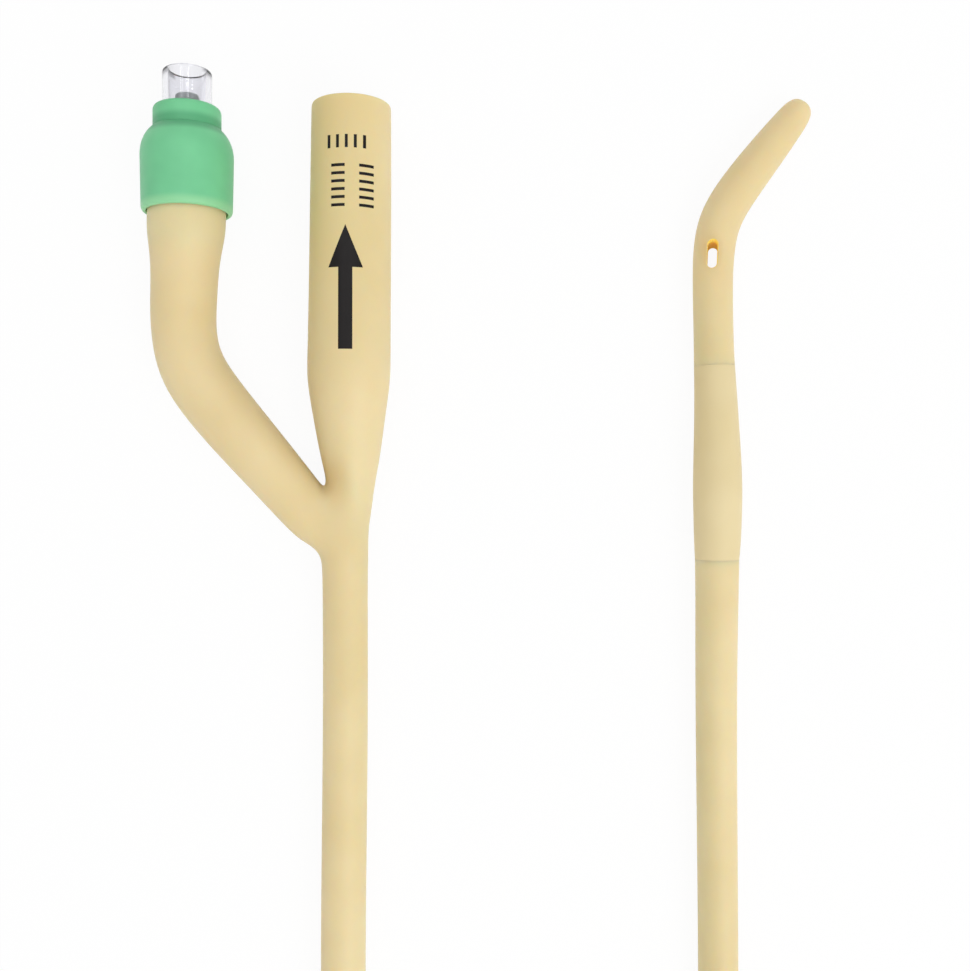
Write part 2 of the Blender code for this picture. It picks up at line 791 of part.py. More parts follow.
def make_boot(material):
    """The colour-coded boot: a collar round the luer, a full shoulder, and a skirt over the arm."""
    top, lip, roof = collar_top(), boot_lip_y(), boot_roof()
    bore = luer_outer_radius + fit_gap
    edge_start, edge_end = (collar_radius - collar_edge, top), (collar_radius, top - collar_edge)
    shoulder_top = top - collar_length
    profile = [(bore, top)]
    profile += curve_points(edge_start, (collar_radius, top), edge_end, 4)
    profile += curve_points(
        (collar_radius, shoulder_top),
        (boot_radius, shoulder_top - shoulder_swell),
        (boot_radius, top - shoulder_end),
        7,
    )
    inner_round = 0.3 * (boot_lip_radius - boot_bore_radius)
    profile += curve_points(
        (boot_lip_radius, lip + boot_lip_length),
        (boot_lip_radius, lip),
        (boot_bore_radius + inner_round, lip),
        5,
    )
    profile += [
        (boot_bore_radius, lip + inner_round),
        (boot_bore_radius, roof - 4 * fit_gap),
        (boot_bore_radius - 0.8 * fit_gap, roof - fit_gap),
        (boot_bore_radius - 1.8 * fit_gap, roof),
        (bore, roof),
    ]
    return turned("valve_boot", profile, material, round_sides)


def make_housing(material):
    """The clear housing: luer socket, throat, spring chamber, flange and barbed spigot."""
    rim, foot = luer_rim_height, spigot_end()
    flange_low = flange_top() - flange_thickness
    luer_foot_radius = luer_mouth_radius - luer_taper * luer_depth
    cone = chamber_radius - throat_radius
    edge_start, edge_end = (luer_outer_radius - luer_edge, rim), (luer_outer_radius, rim - luer_edge)
    profile = [(luer_mouth_radius, rim)]
    profile += curve_points(edge_start, (luer_outer_radius, rim), edge_end, 4)
    profile += [
        (luer_outer_radius, flange_top()),
        (flange_radius, flange_top()),
        (flange_radius, flange_low),
        (spigot_radius, flange_low),
    ]
    for k in range(1, barb_count + 1):
        shoulder = flange_low - k * barb_pitch
        profile += [(spigot_radius, shoulder), (barb_radius, shoulder - 0.1 * barb_rise)]
        profile.append((spigot_radius, shoulder - barb_rise))
    profile += [
        (spigot_radius - small_edge, foot),
        (retainer_radius, foot),
        (retainer_radius, foot + retainer_length),
        (chamber_radius, foot + retainer_length),
        (chamber_radius, seat_cone_top() - cone),
        (throat_radius, seat_cone_top()),
        (throat_radius, rim - luer_depth),
        (luer_foot_radius, rim - luer_depth),
    ]
    return turned("valve_housing", profile, material, round_sides)


def seal_height():
    """The seal's ring lies under the housing's conical seat, one gap away from it."""
    to_cone = (seal_wire_radius + fit_gap) * math.sqrt(2)
    return seat_cone_top() + throat_radius - seal_ring_radius - to_cone


def head_flange_top():
    return seal_height() - seal_wire_radius - fit_gap


def make_plunger(material):
    """The plunger: a slotted stem that the syringe presses, a neck for the seal, a flange, a guide."""
    top = luer_rim_height - plunger_depth
    neck_radius = seal_ring_radius - seal_wire_radius - fit_gap
    neck_top = seal_height() + seal_wire_radius + fit_gap
    flange_high, flange_low = head_flange_top(), head_flange_top() - head_flange_thickness
    guide_end = flange_low - guide_length
    profile = [
        (0.0, top),
        (plunger_radius - small_edge, top),
        (plunger_radius, top - small_edge),
        (plunger_radius, neck_top + fit_gap),
        (neck_radius, neck_top),
        (neck_radius, flange_high),
        (head_flange_radius, flange_high),
        (head_flange_radius, flange_low),
        (guide_radius, flange_low),
        (guide_radius, guide_end + small_edge),
        (guide_radius - small_edge, guide_end),
        (0.0, guide_end),
    ]
    plunger = turned("valve_plunger", profile, material, small_sides)
    shape = bmesh.new()
    bmesh.ops.create_cube(shape, size=1.0)
    bmesh.ops.scale(shape, vec=(slot_width, 2 * slot_depth, 4 * plunger_radius), verts=shape.verts)
    slot = as_cutter(finish_mesh("plunger_slot_cutter", shape, material))
    slot.location = (0.0, top, 0.0)
    slot.parent = plunger
    cut(plunger, slot, "fluid slot")
    return plunger


def make_seal(material):
    """The seal ring on the plunger's neck."""
    profile = []
    for a in 2 * math.pi * np.arange(10) / 10:
        radius = seal_ring_radius + seal_wire_radius * math.cos(a)
        profile.append((radius, seal_height() - seal_wire_radius * math.sin(a)))
    return turned("valve_seal", profile, material, seal_sides)


def spring_foot():
    return spigot_end() + retainer_length + fit_gap + seat_thickness + fit_gap + spring_wire_radius


def make_spring(material):
    """The return spring, from the seat up to the plunger's flange."""
    low = spring_foot()
    high = head_flange_top() - head_flange_thickness - fit_gap - spring_wire_radius
    curve = bpy.data.curves.new("valve_spring", "CURVE")
    curve.dimensions = "3D"
    curve.bevel_depth = spring_wire_radius
    curve.bevel_resolution = 1
    curve.use_fill_caps = True
    line = curve.splines.new("POLY")
    count = spring_turns * wire_steps + 1
    line.points.add(count - 1)
    for i in range(count):
        a = 2 * math.pi * i / wire_steps
        height = low + (high - low) * i / (count - 1)
        line.points[i].co = (spring_radius * math.cos(a), height, spring_radius * math.sin(a), 1.0)
    curve.materials.append(material)
    spring = bpy.data.objects.new("valve_spring", curve)
    bpy.context.scene.collection.objects.link(spring)
    return spring


def make_seat(material):
    """The seat that closes the chamber, centres the spring and lets the water through."""
    low = spigot_end() + retainer_length + fit_gap
    high = low + seat_thickness
    profile = [
        (seat_bore_radius, high + seat_collar_height),
        (seat_collar_radius, high + seat_collar_height),
        (seat_collar_radius, high),
        (seat_radius, high),
        (seat_radius, low),
        (seat_bore_radius, low),
    ]
    return turned("spring_seat", profile, material, small_sides)


def add_empty(name, location):
    empty = bpy.data.objects.new(name, None)
    empty.location = location
    bpy.context.scene.collection.objects.link(empty)
    return empty


def carry(parent, children):
    """Let the children follow their parent, keeping their places relative to it."""
    for child in children:
        child.parent = parent
    bpy.context.view_layer.update()


def world_box(objects):
    """Lowest and highest corner of these objects together."""
    graph = bpy.context.evaluated_depsgraph_get()
    corners = []
    for obj in objects:
        evaluated = obj.evaluated_get(graph)
        mesh = evaluated.to_mesh()
        corners += [evaluated.matrix_world @ vertex.co for vertex in mesh.vertices]
        evaluated.to_mesh_clear()
    corners = np.array(corners)
    return corners.min(axis=0), corners.max(axis=0)


def main():
    for obj in list(bpy.data.objects):
        bpy.data.objects.remove(obj, do_unlink=True)
    latex = make_material("natural latex", (0.80, 0.66, 0.37), 0.45)
    green = make_material("green soft plastic", (0.15, 0.60, 0.32), 0.40)
    clear = make_material("clear plastic", (0.90, 0.90, 0.95), 0.08, see_through=0.9)
    grey = make_material("grey plastic", (0.55, 0.55, 0.60), 0.40)
    rubber = make_material("black rubber", (0.03, 0.03, 0.03), 0.60)
    steel = make_material("spring steel", (0.60, 0.60, 0.62), 0.25, metallic=1.0)

    route, arm = main_route(), arm_route()
    tube = [make_body(route, arm, latex), make_sleeve(route, latex)]
    valve = [
        make_boot(green),
        make_housing(clear),
        make_plunger(grey),
        make_seal(rubber),
        make_spring(steel),
        make_seat(grey),
    ]
    valve_axis = add_empty("valve_axis", (-valve_side, 0.0, boot_radius))
    carry(valve_axis, valve)
    low, high = world_box(tube + valve)
    catheter = add_empty("catheter", (-(low[0] + high[0]) / 2, -(low[1] + high[1]) / 2, -low[2]))
    carry(catheter, [obj for obj in bpy.data.objects if obj.parent is None and obj != catheter])


main()
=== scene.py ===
"""Looks of a two-way balloon catheter with a bent tip, which lies flat in a hairpin.

The layout is drawn from the fork, where the inflation arm's axis meets the shaft's axis: the drain
funnel points along +Y, the inflation arm leans to -X, and the tip end comes back up at +X.
"""

import math
from types import SimpleNamespace

import bmesh
import bpy
import numpy as np
from bpy.props import FloatProperty, FloatVectorProperty, PointerProperty
from mathutils import Matrix, Vector


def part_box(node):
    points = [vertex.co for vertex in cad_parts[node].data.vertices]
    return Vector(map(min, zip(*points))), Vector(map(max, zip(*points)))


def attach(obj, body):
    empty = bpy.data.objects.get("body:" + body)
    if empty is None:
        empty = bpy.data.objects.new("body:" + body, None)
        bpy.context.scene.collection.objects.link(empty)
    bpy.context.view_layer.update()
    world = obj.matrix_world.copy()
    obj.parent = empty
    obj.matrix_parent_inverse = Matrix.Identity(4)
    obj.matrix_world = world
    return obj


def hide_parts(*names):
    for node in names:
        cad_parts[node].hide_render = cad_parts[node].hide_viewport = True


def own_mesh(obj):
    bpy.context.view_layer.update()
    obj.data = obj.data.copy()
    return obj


bl_info = {
    "name": "Balloon Catheter",
    "version": (1, 0, 0),
    "blender": (4, 5, 0),
    "location": "3D Viewport > Sidebar > Catheter",
    "description": "Adds a two-way balloon catheter, piece by piece, and a studio to look at it in",
    "category": "Object",
}

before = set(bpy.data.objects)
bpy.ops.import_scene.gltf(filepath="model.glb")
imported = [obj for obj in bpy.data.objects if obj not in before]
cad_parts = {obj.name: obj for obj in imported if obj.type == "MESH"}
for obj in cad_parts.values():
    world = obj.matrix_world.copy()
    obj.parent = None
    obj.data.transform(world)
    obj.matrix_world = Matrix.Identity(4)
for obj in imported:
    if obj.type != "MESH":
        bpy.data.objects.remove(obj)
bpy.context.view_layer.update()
HOUSING_LOW, HOUSING_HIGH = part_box("valve_housing")

DRAIN_LEG_DRIFT = (  # height above the fork, and how far the drain leg strays sideways there
    (-0.0010, 0.00008),
    (-0.0120, 0.00004),
    (-0.0420, -0.00020),
)
TIP_LEG_DRIFT = (  # the same, on the leg that ends in the tip; the last is beside the eyes
    (-0.0420, 0.00020),
    (-0.0200, -0.00010),
    (-0.0040, 0.00005),
    (0.0080, -0.00005),
    (0.0225, -0.00024),
    (0.0351, -0.00035),
)
ARM_DRIFT = (  # share of the way down from the spigot to the bend, then of the drift and of the drop
    (0.0, 0.22, 0.14),
    (0.45, 0.50, 0.58),
    (1.0, 0.84, 1.0),
)
FORK_SECTIONS = (  # side and height of the middle, half width and tilt: arm's root, heel, neck
    (-0.00128, 0.00248, 0.00415, math.radians(10)),
    (-0.00050, 0.00110, 0.00325, math.radians(4)),
    (0.00003, -0.00030, 0.00272, 0.0),
)
EYE_FLARE = (  # height over the skin, and how far the slot has opened there
    (-0.00062, 0.0),
    (-0.00030, 0.00004),
    (-0.00012, 0.00013),
    (0.00030, 0.00042),
)
UP = np.array([0.0, 0.0, 1.0])
RING_SIDES = 12  # the fork's split rings need this count
RING_STEP, TURN_RING_STEP = 0.014, 0.0085  # between the shaft's rings, on the legs and round the hairpin
LUMEN_STEP, TURN_LUMEN_STEP = 0.012, 0.003
SKIN_LEVELS = 3
ROUND_SIDES, SMALL_SIDES = 96, 64
PHOTO_SIZE = 971  # the longer side of the photograph's frame, in pixels
SENSOR_WIDTH = 36.0


def length(name, description, default):
    """A size in metres."""
    return FloatProperty(name=name, description=description, default=default, unit="LENGTH", precision=5)


def angle(name, description, degrees):
    """An angle, which is written here in degrees."""
    return FloatProperty(
        name=name,
        description=description,
        default=math.radians(degrees),
        unit="ROTATION",
        subtype="ANGLE",
    )


def share(name, description, default):
    """A share of something else, from 0 to 1."""
    return FloatProperty(
        name=name, description=description, default=default, subtype="FACTOR", min=0, max=1
    )


def power(name, description, watts):
    """A lamp's power in watts."""
    return FloatProperty(name=name, description=description, default=watts, unit="POWER", precision=3)


def linear(code):
    """The linear colour of an sRGB hex value."""
    channels = [int(code[i : i + 2], 16) / 255 for i in (1, 3, 5)]
    return tuple(c / 12.92 if c <= 0.04045 else ((c + 0.055) / 1.055) ** 2.4 for c in channels)


def colour(name, description, code):
    """A colour, which is written here as an sRGB hex value."""
    return FloatVectorProperty(
        name=name, description=description, default=linear(code), subtype="COLOR", size=3, min=0, max=1
    )


class TubeSizes(bpy.types.PropertyGroup):
    overall_length: length("Length", "Along the tube, from the drain mouth to the tip", 0.400)
    shaft_radius: length("Shaft radius", "14 French, each a third of a millimetre across", 14 / 6000)
    fork_shaft_radius: length("Radius at the fork", "The shaft is stouter beside the fork", 0.00264)
    stout_length: length("Stout length", "Of that stouter stretch", 0.0450)
    head_radius: length("Head radius", "The shaft between the balloon and the tip", 0.00232)
    elbow_radius: length("Elbow radius", "At the tip's bend", 0.00248)
    leg_spacing: length("Leg spacing", "Between the two legs of the hairpin", 0.0440)
    lumen_radius: length("Drain lumen", "Radius of the drain lumen", 0.00125)
    lumen_offset: length("Lumen offset", "The drain lumen lies to the inside of the hairpin", 0.0004)


class FunnelSizes(bpy.types.PropertyGroup):
    funnel_reach: length("Reach", "Mouth to fork", 0.0523)
    funnel_straight: length("Straight part", "Mouth to brim", 0.0305)
    funnel_lean: length("Lean", "The mouth stands this far to the inner side", 0.00100)
    funnel_radius: length("Radius", "Half way down the straight part", 0.00473)
    funnel_mouth_radius: length("Mouth radius", "At the end", 0.00460)
    funnel_brim_radius: length("Brim radius", "Where the straight part turns into the taper", 0.00484)
    funnel_foot_radius: length("Foot radius", "Where the taper meets the fork", 0.00264)
    funnel_edge: length("Edge", "Round edge of the mouth", 0.00045)
    funnel_bore_radius: length("Bore radius", "Of the drain funnel's bore", 0.0036)
    funnel_bore_depth: length("Bore depth", "To where the bore starts to narrow", 0.0290)
    bore_round: length("Bore edge", "Round edge of the bore", 0.00042)


class MarkSizes(bpy.types.PropertyGroup):
    mark_middle: length("Middle", "Of the arrow, beside the fork", 0.00090)
    arrow_foot: length("Arrow foot", "Above the fork", 0.0234)
    arrow_neck: length("Arrow neck", "Where its head starts", 0.0326)
    arrow_point: length("Arrow point", "Above the fork", 0.0374)
    arrow_stem: length("Arrow stem", "Half its width", 0.00080)
    arrow_head: length("Arrow head", "Half its width", 0.00195)
    scale_middle: length("Scale height", "Middle of the two scales, above the fork", 0.0417)
    scale_reach: length("Scale reach", "Half the length of a scale", 0.00270)
    scale_width: length("Scale width", "Half the width of a scale", 0.00078)
    scale_left: length("Left scale", "Its middle, beside the fork", 0.00005)
    scale_right: length("Right scale", "Its middle, beside the fork", 0.00320)
    scale_pitch: length("Scale pitch", "Between its ticks", 0.00090)
    row_height: length("Row height", "Middle of the row of ticks, above the fork", 0.0468)
    row_reach: length("Row reach", "Half the length of the row", 0.00270)
    row_width: length("Row width", "Half the length of its ticks", 0.00075)
    row_pitch: length("Row pitch", "Between its ticks", 0.00100)
    tick: length("Tick", "Half the thickness of a tick", 0.00017)


class ArmSizes(bpy.types.PropertyGroup):
    arm_angle: angle("Slant", "Between the arm's slanted part and the funnel", 40.2)
    arm_spacing: length("Spacing", "Between the arm's straight part and the fork", 0.01890)
    arm_bend_radius: length("Bend radius", "Of the arm's axis", 0.0115)
    arm_radius: length("Radius", "Of the straight part", 0.00372)
    arm_elbow_radius: length("Elbow radius", "At the bend", 0.00382)
    arm_root_radius: length("Root radius", "Beside the fork", 0.0032)
    arm_end_radius: length("End radius", "Where the arm is stretched over the valve", 0.00446)
    arm_flare: length("Flare", "Over which the stretch dies away below the boot", 0.0062)
    crotch_height: length("Crotch height", "Of the cleft between funnel and arm", 0.0079)
    crotch_side: length("Crotch side", "Of the cleft, beside the shaft's axis", 0.0025)
    valley_height: length("Valley height", "Where the two branches part", 0.0047)
    valley_side: length("Valley side", "Where the two branches part", 0.0021)
    valley_share: share("Valley depth", "As a share of the shaft's radius", 0.86)
    fork_thickness: length("Fork thickness", "Half of it, where the branches have joined", 0.00282)
    branch_base: length("Branch base", "From the fork to where the arm is round", 0.0066)
    funnel_base: length("Funnel base", "From the fork to where the funnel is round", 0.0052)
    socket_cone: length("Socket cone", "From the arm's socket to the inflation lumen", 0.0035)
    inflation_radius: length("Inflation lumen", "Radius of the inflation lumen", 0.00033)


class BalloonSizes(bpy.types.PropertyGroup):
    sleeve_length: length("Length", "Of the balloon's sleeve", 0.0229)
    sleeve_from_tip: length("From the tip", "Tip to the sleeve", 0.0348)
    sleeve_wall: length("Wall", "Of the sleeve", 0.00036)
    sleeve_fit: length("Fit", "Between the sleeve and the waist", 0.00012)
    sleeve_slack: length("Slack", "The empty balloon hangs to the outer side", 0.00010)
    seam_gap: length("Seam", "Between the sleeve's ends and the shaft", 0.00001)
    balloon_radius: length("Radius", "At its fullest", 0.00285)
    sleeve_near_radius: length("Near radius", "At the end beside the tip", 0.00238)
    sleeve_far_radius: length("Far radius", "At the end beside the fork", 0.00257)
    waist_radius: length("Waist radius", "Of the shaft under the sleeve", 0.00204)
    waist_step: length("Waist step", "Fineness of the shaft beside the sleeve", 0.00012)
    tip_angle: angle("Tip angle", "Of the bent tip", 37.8)
    tip_bend_radius: length("Tip bend", "Of the tip's axis", 0.0110)
    tip_length: length("Tip length", "Straight part beyond the bend", 0.0140)
    tip_radius: length("Tip radius", "At the round end", 0.00193)
    eye_length: length("Eye length", "Of the drainage eyes", 0.0031)
    eye_width: length("Eye width", "Of the drainage eyes", 0.0011)
    eye_from_tip: length("Eye from the tip", "Tip to the middle of the eyes", 0.02193)
    eye_turn: angle("Eye turn", "The pair is turned a little about the tube", 12)
    eye_dimple: length("Eye dimple", "The wall sinks this far round the eyes", 0.00022)


class ValveSizes(bpy.types.PropertyGroup):
    valve_side: length("Side", "Of the valve's axis, beside the fork", 0.01795)
    luer_rim_height: length("Rim height", "Of the luer rim, above the fork", 0.0561)
    luer_above_collar: length("Luer above collar", "What stands out of the boot", 0.0043)
    luer_outer_radius: length("Luer outside", "Radius of the luer socket", 0.00279)
    luer_mouth_radius: length("Luer mouth", "Radius of its bore at the rim", 0.00213)
    luer_taper: share("Luer taper", "Radius lost for each unit of depth", 0.03)
    luer_depth: length("Luer depth", "Of its bore", 0.0076)
    luer_edge: length("Luer edge", "Round edge of the rim", 0.00042)
    boot_radius: length("Boot radius", "Of the green boot", 0.00528)
    boot_lip_radius: length("Lip radius", "Of the boot's lip", 0.00517)
    boot_lip_round: length("Lip edge", "Round edge of the lip", 0.00042)
    boot_length: length("Boot length", "Collar to lip", 0.0122)
    skirt_fit: length("Skirt fit", "Between the boot's skirt and the arm", 0.00014)
    boot_wall_at_roof: length("Boot roof", "Thickness above the bore", 0.0042)
    collar_radius: length("Collar radius", "Of the collar round the luer", 0.00386)
    collar_length: length("Collar length", "Of its straight side", 0.0025)
    collar_edge: length("Collar edge", "Round edge of the collar", 0.0006)
    shoulder_end: length("Shoulder end", "Where the full radius is reached, below the top", 0.0058)
    shoulder_swell: length("Shoulder swell", "Fullness of the shoulder", 0.0012)
    flange_radius: length("Flange radius", "Of the housing's flange", 0.0043)
    flange_thickness: length("Flange thickness", "Of the housing's flange", 0.0008)
    spigot_radius: length("Spigot radius", "Of the spigot in the arm", 0.00305)
    spigot_length: length("Spigot length", "Of the spigot in the arm", 0.0094)
    barb_radius: length("Barb radius", "Of the spigot's barbs", 0.00330)
    barb_pitch: length("Barb pitch", "Between the barbs", 0.0026)
    barb_rise: length("Barb rise", "Length of a barb's slope", 0.0009)
    chamber_radius: length("Chamber radius", "Of the spring chamber", 0.0024)
    throat_radius: length("Throat radius", "Under the luer bore", 0.00165)
    throat_length: length("Throat length", "Under the luer bore", 0.0007)
    retainer_radius: length("Retainer radius", "Of the chamber's foot", 0.0017)
    retainer_length: length("Retainer length", "Of the chamber's foot", 0.0007)
    plunger_radius: length("Plunger radius", "Of its stem", 0.00135)
    plunger_depth: length("Plunger depth", "Of its top below the rim", 0.00278)
    small_edge: length("Small edge", "Round edge of the plunger and the housing", 0.0002)
    head_flange_radius: length("Plunger flange", "Radius of its flange", 0.00205)
    head_flange_thickness: length("Plunger flange thickness", "Of its flange", 0.0006)
    guide_radius: length("Guide radius", "Of the pin in the spring", 0.00075)
    guide_length: length("Guide length", "Of the pin in the spring", 0.0034)
    slot_width: length("Slot width", "Of the plunger's fluid slot", 0.0006)
    slot_depth: length("Slot depth", "Of the plunger's fluid slot", 0.0011)
    seal_ring_radius: length("Seal radius", "Middle of the seal ring", 0.00172)
    seal_wire_radius: length("Seal section", "Radius of the ring's section", 0.00038)
    fit_gap: length("Fit gap", "Between pieces that touch", 0.0003)


class Finishes(bpy.types.PropertyGroup):
    latex: colour("Latex", "Natural latex", "#EAD7A8")
    latex_deep: colour("Latex, deep", "Where the dipped wall is thicker", "#E4D09E")
    # Painted shade over the funnel's wide bore, with painted green light bounced from the boot.
    latex_hollow: colour("Latex, hollow", "Over the funnel's wide bore", "#E0CD92")
    # Painted warm shade and bounce light in the crotch and round the eyes; inside the bores it is only
    # the deep tone of the drift.
    latex_warm: colour("Latex, warm", "In the creases, where the latex pooled", "#CDA662")
    latex_inner: colour("Latex, inside", "On the walls of the bores and the eyes", "#F0CB62")
    ink: colour("Ink", "Printed marks", "#0E0707")
    boot: colour("Boot", "Soft moulded plastic", "#7BD19B")
    boot_deep: colour("Boot, deep", "Where its pigment is denser", "#74C994")
    # Painted shade in the groove round the collar's foot.
    boot_groove: colour("Boot, groove", "Round the foot of the collar", "#44986A")
    # Painted highlight on the lip's round edge.
    boot_lip: colour("Boot, lip", "Where the thin lip lets light through", "#9CDCA6")
    clear: colour("Clear plastic", "Tint of the clear plastic", "#F3F3F7")
    # Painted shade: dark strokes on both sides of the rim, where refraction would show a dark room.
    clear_edge: colour("Clear plastic, edge", "Strokes on both sides of the rim", "#77777C")
    grey: colour("Grey plastic", "Plunger and seat", "#E4EAE8")
    grey_deep: colour("Grey plastic, deep", "Where its pigment is denser", "#DAE0DE")
    rubber: colour("Seal rubber", "Black rubber", "#1B1B1C")
    rubber_bloom: colour("Seal rubber, bloom", "Where the rubber has bloomed", "#232324")
    steel: colour("Spring steel", "Drawn wire", "#B5B6BA")
    steel_deep: colour("Spring steel, deep", "In the drawing marks", "#A2A3A8")
    floor: colour("Floor", "Pale studio floor", "#FAFAFA")


class StageSizes(bpy.types.PropertyGroup):
    camera_height: length("Camera height", "Above the floor", 0.1295)
    camera_x: length("Camera X", "Beside the fork", 0.01656)
    camera_y: length("Camera Y", "Above the fork", 0.00810)
    camera_focal: FloatProperty(
        name="Focal length", description="In pixels of the photograph", default=1071.7
    )
    floor_reach: length("Floor", "From its middle to its edges", 1.2)
    key_side: length("Key side", "The soft lamp stands to the right", 0.38)
    key_back: length("Key back", "The soft lamp stands towards the hairpin", 0.42)
    key_height: length("Key height", "Of the soft lamp over the floor", 0.60)
    key_size: length("Key size", "Of the soft lamp", 0.55)
    key_watts: power("Key power", "Of the soft lamp", 2.7)
    strip_height: length("Strip height", "Of the slim lamps that draw streaks on gloss", 0.42)
    strip_width: length("Strip width", "Of the slim lamps", 0.016)
    strip_length: length("Strip length", "Of the slim lamps", 0.30)
    strip_watts: power("Strip power", "Of each slim lamp", 0.11)
    strip_back: angle("Strip back", "The slim lamps lean away from the hairpin", 19)
    left_strip: angle("Left strip", "Its lean over the valve", -13.3)
    right_strip: angle("Right strip", "Its lean over the valve", 18.9)
    sky: share("Sky", "Strength of the even light all round", 0.66)
    floor_glow: share("Floor glow", "How far the camera sees the floor as plain white", 0.93)
    card_near: length("Card, near", "Where the black cards round the valve start", 0.024)
    card_far: length("Card, far", "Where they hide all of the paper", 0.060)


SIZE_GROUPS = {
    "catheter_tube": TubeSizes,
    "catheter_funnel": FunnelSizes,
    "catheter_marks": MarkSizes,
    "catheter_arm": ArmSizes,
    "catheter_balloon": BalloonSizes,
    "catheter_valve": ValveSizes,
}


def sizes():
    """Every size that the panel's groups hold, by name, and the fork's place in the frame."""
    s = SimpleNamespace()
    for holder, group in SIZE_GROUPS.items():
        for name in group.__annotations__:
            setattr(s, name, getattr(getattr(bpy.context.scene, holder), name))
    valve_x = (HOUSING_LOW.x + HOUSING_HIGH.x) / 2
    s.fork = Vector((valve_x + s.valve_side, HOUSING_HIGH.y - s.luer_rim_height, 0.0))
    return s


def natural_spline(points, steps=24):
    """Points along the natural cubic spline through the given ones, spaced by chord length."""
    points = np.asarray(points, float)
    chord = np.linalg.norm(np.diff(points, axis=0), axis=1)
    count = len(points)
    system = np.eye(count)
    bend = np.zeros_like(points)
    for i in range(1, count - 1):
        before, after = chord[i - 1], chord[i]
        system[i, i - 1 : i + 2] = before, 2 * (before + after), after
        bend[i] = 6 * ((points[i + 1] - points[i]) / after - (points[i] - points[i - 1]) / before)
    second = np.linalg.solve(system, bend)
    dense = []
    for i in range(count - 1):
        for t in np.linspace(0, 1, steps, endpoint=False):
            a = 1 - t
            lift = (a**3 - a) * second[i] + (t**3 - t) * second[i + 1]
            dense.append(a * points[i] + t * points[i + 1] + lift * chord[i] ** 2 / 6)
    dense.append(points[-1])
    return np.array(dense)


def lengths_along(points):
    return np.concatenate([[0.0], np.cumsum(np.linalg.norm(np.diff(points, axis=0), axis=1))])


class Route:
    """A tube's axis, with the distance along it at each of its points."""

    def __init__(self, points):
        self.points = np.asarray(points, float)
        self.distance = lengths_along(self.points[:, :2])
        self.length = self.distance[-1]

    def at(self, distance):
        return np.array([np.interp(distance, self.distance, axis) for axis in self.points.T])

    def heading(self, distance):
        """Level direction of travel at this distance."""
        reach = 0.0004
        low, high = max(distance - reach, 0.0), min(distance + reach, self.length)
        step = (self.at(high) - self.at(low))[:2]
        return step / np.linalg.norm(step)

    def side(self, distance):
        """Level direction to the right of travel, which is the outside of the hairpin."""
        x, y = self.heading(distance)
        return np.array([y, -x, 0.0])


def spaced(first, last, step):
    """Distances from first to last in equal steps of about this length."""
    return list(np.linspace(first, last, max(2, round((last - first) / step) + 1)))


def hairpin(start, width, samples=9):
    """Points round a half turn whose curvature swells from nothing and dies away again."""
    t = np.linspace(0, 1, 2001)
    turned_by = math.pi * (t - np.sin(2 * math.pi * t) / (2 * math.pi))
    steps = np.stack([np.sin(turned_by), -np.cos(turned_by)], axis=1)
    path = np.concatenate([[[0.0, 0.0]], np.cumsum((steps[1:] + steps[:-1]) / 2, axis=0)])
    path *= width / path[-1, 0]
    path[:, 1] -= path[-1, 1] * t
    picked = np.linspace(0, len(t) - 1, samples + 2).astype(int)
    return [tuple(np.array(start) + path[i]) for i in picked]


def arc(centre, radius, first, last, samples=4):
    angles = np.linspace(first, last, samples)
    return [(centre[0] + radius * math.cos(a), centre[1] + radius * math.sin(a)) for a in angles]


def main_points(s, hairpin_y):
    """The catheter's axis in plan, from the drain mouth round the hairpin to the tip."""
    funnel = [
        (s.funnel_lean, s.funnel_reach),
        (0.92 * s.funnel_lean, 0.74 * s.funnel_reach),
        (0.76 * s.funnel_lean, 0.45 * s.funnel_reach),
        (0.70 * s.funnel_lean, 0.28 * s.funnel_reach),
        (0.72 * s.funnel_lean, 0.165 * s.funnel_reach),
    ]
    drain_leg = [(drift, height) for height, drift in DRAIN_LEG_DRIFT]
    turn = hairpin((0.0, hairpin_y), s.leg_spacing)
    tip_leg = [(s.leg_spacing + drift, height) for height, drift in TIP_LEG_DRIFT]
    head_x, eye_y = tip_leg.pop()
    bend_y = eye_y + s.eye_from_tip - s.tip_length - s.tip_bend_radius * s.tip_angle
    bend_centre = (head_x + s.tip_bend_radius, bend_y)
    bend = arc(bend_centre, s.tip_bend_radius, math.pi, math.pi - s.tip_angle)
    along = np.array([math.sin(s.tip_angle), math.cos(s.tip_angle)])
    straight = [tuple(np.array(bend[-1]) + along * part * s.tip_length) for part in (0.5, 1.0)]
    return funnel + drain_leg + turn + tip_leg + bend + straight


def main_route(s):
    """The axis at its stated length. The legs take up what the length needs."""
    hairpin_y = -s.overall_length / 4
    for _ in range(5):
        plan = natural_spline(main_points(s, hairpin_y))
        hairpin_y += (lengths_along(plan)[-1] - s.overall_length) / 2
    stations = np.array(outer_stations(s))
    resting = np.interp(lengths_along(plan), stations[:, 0], stations[:, 1])
    return Route(np.column_stack([plan, resting]))


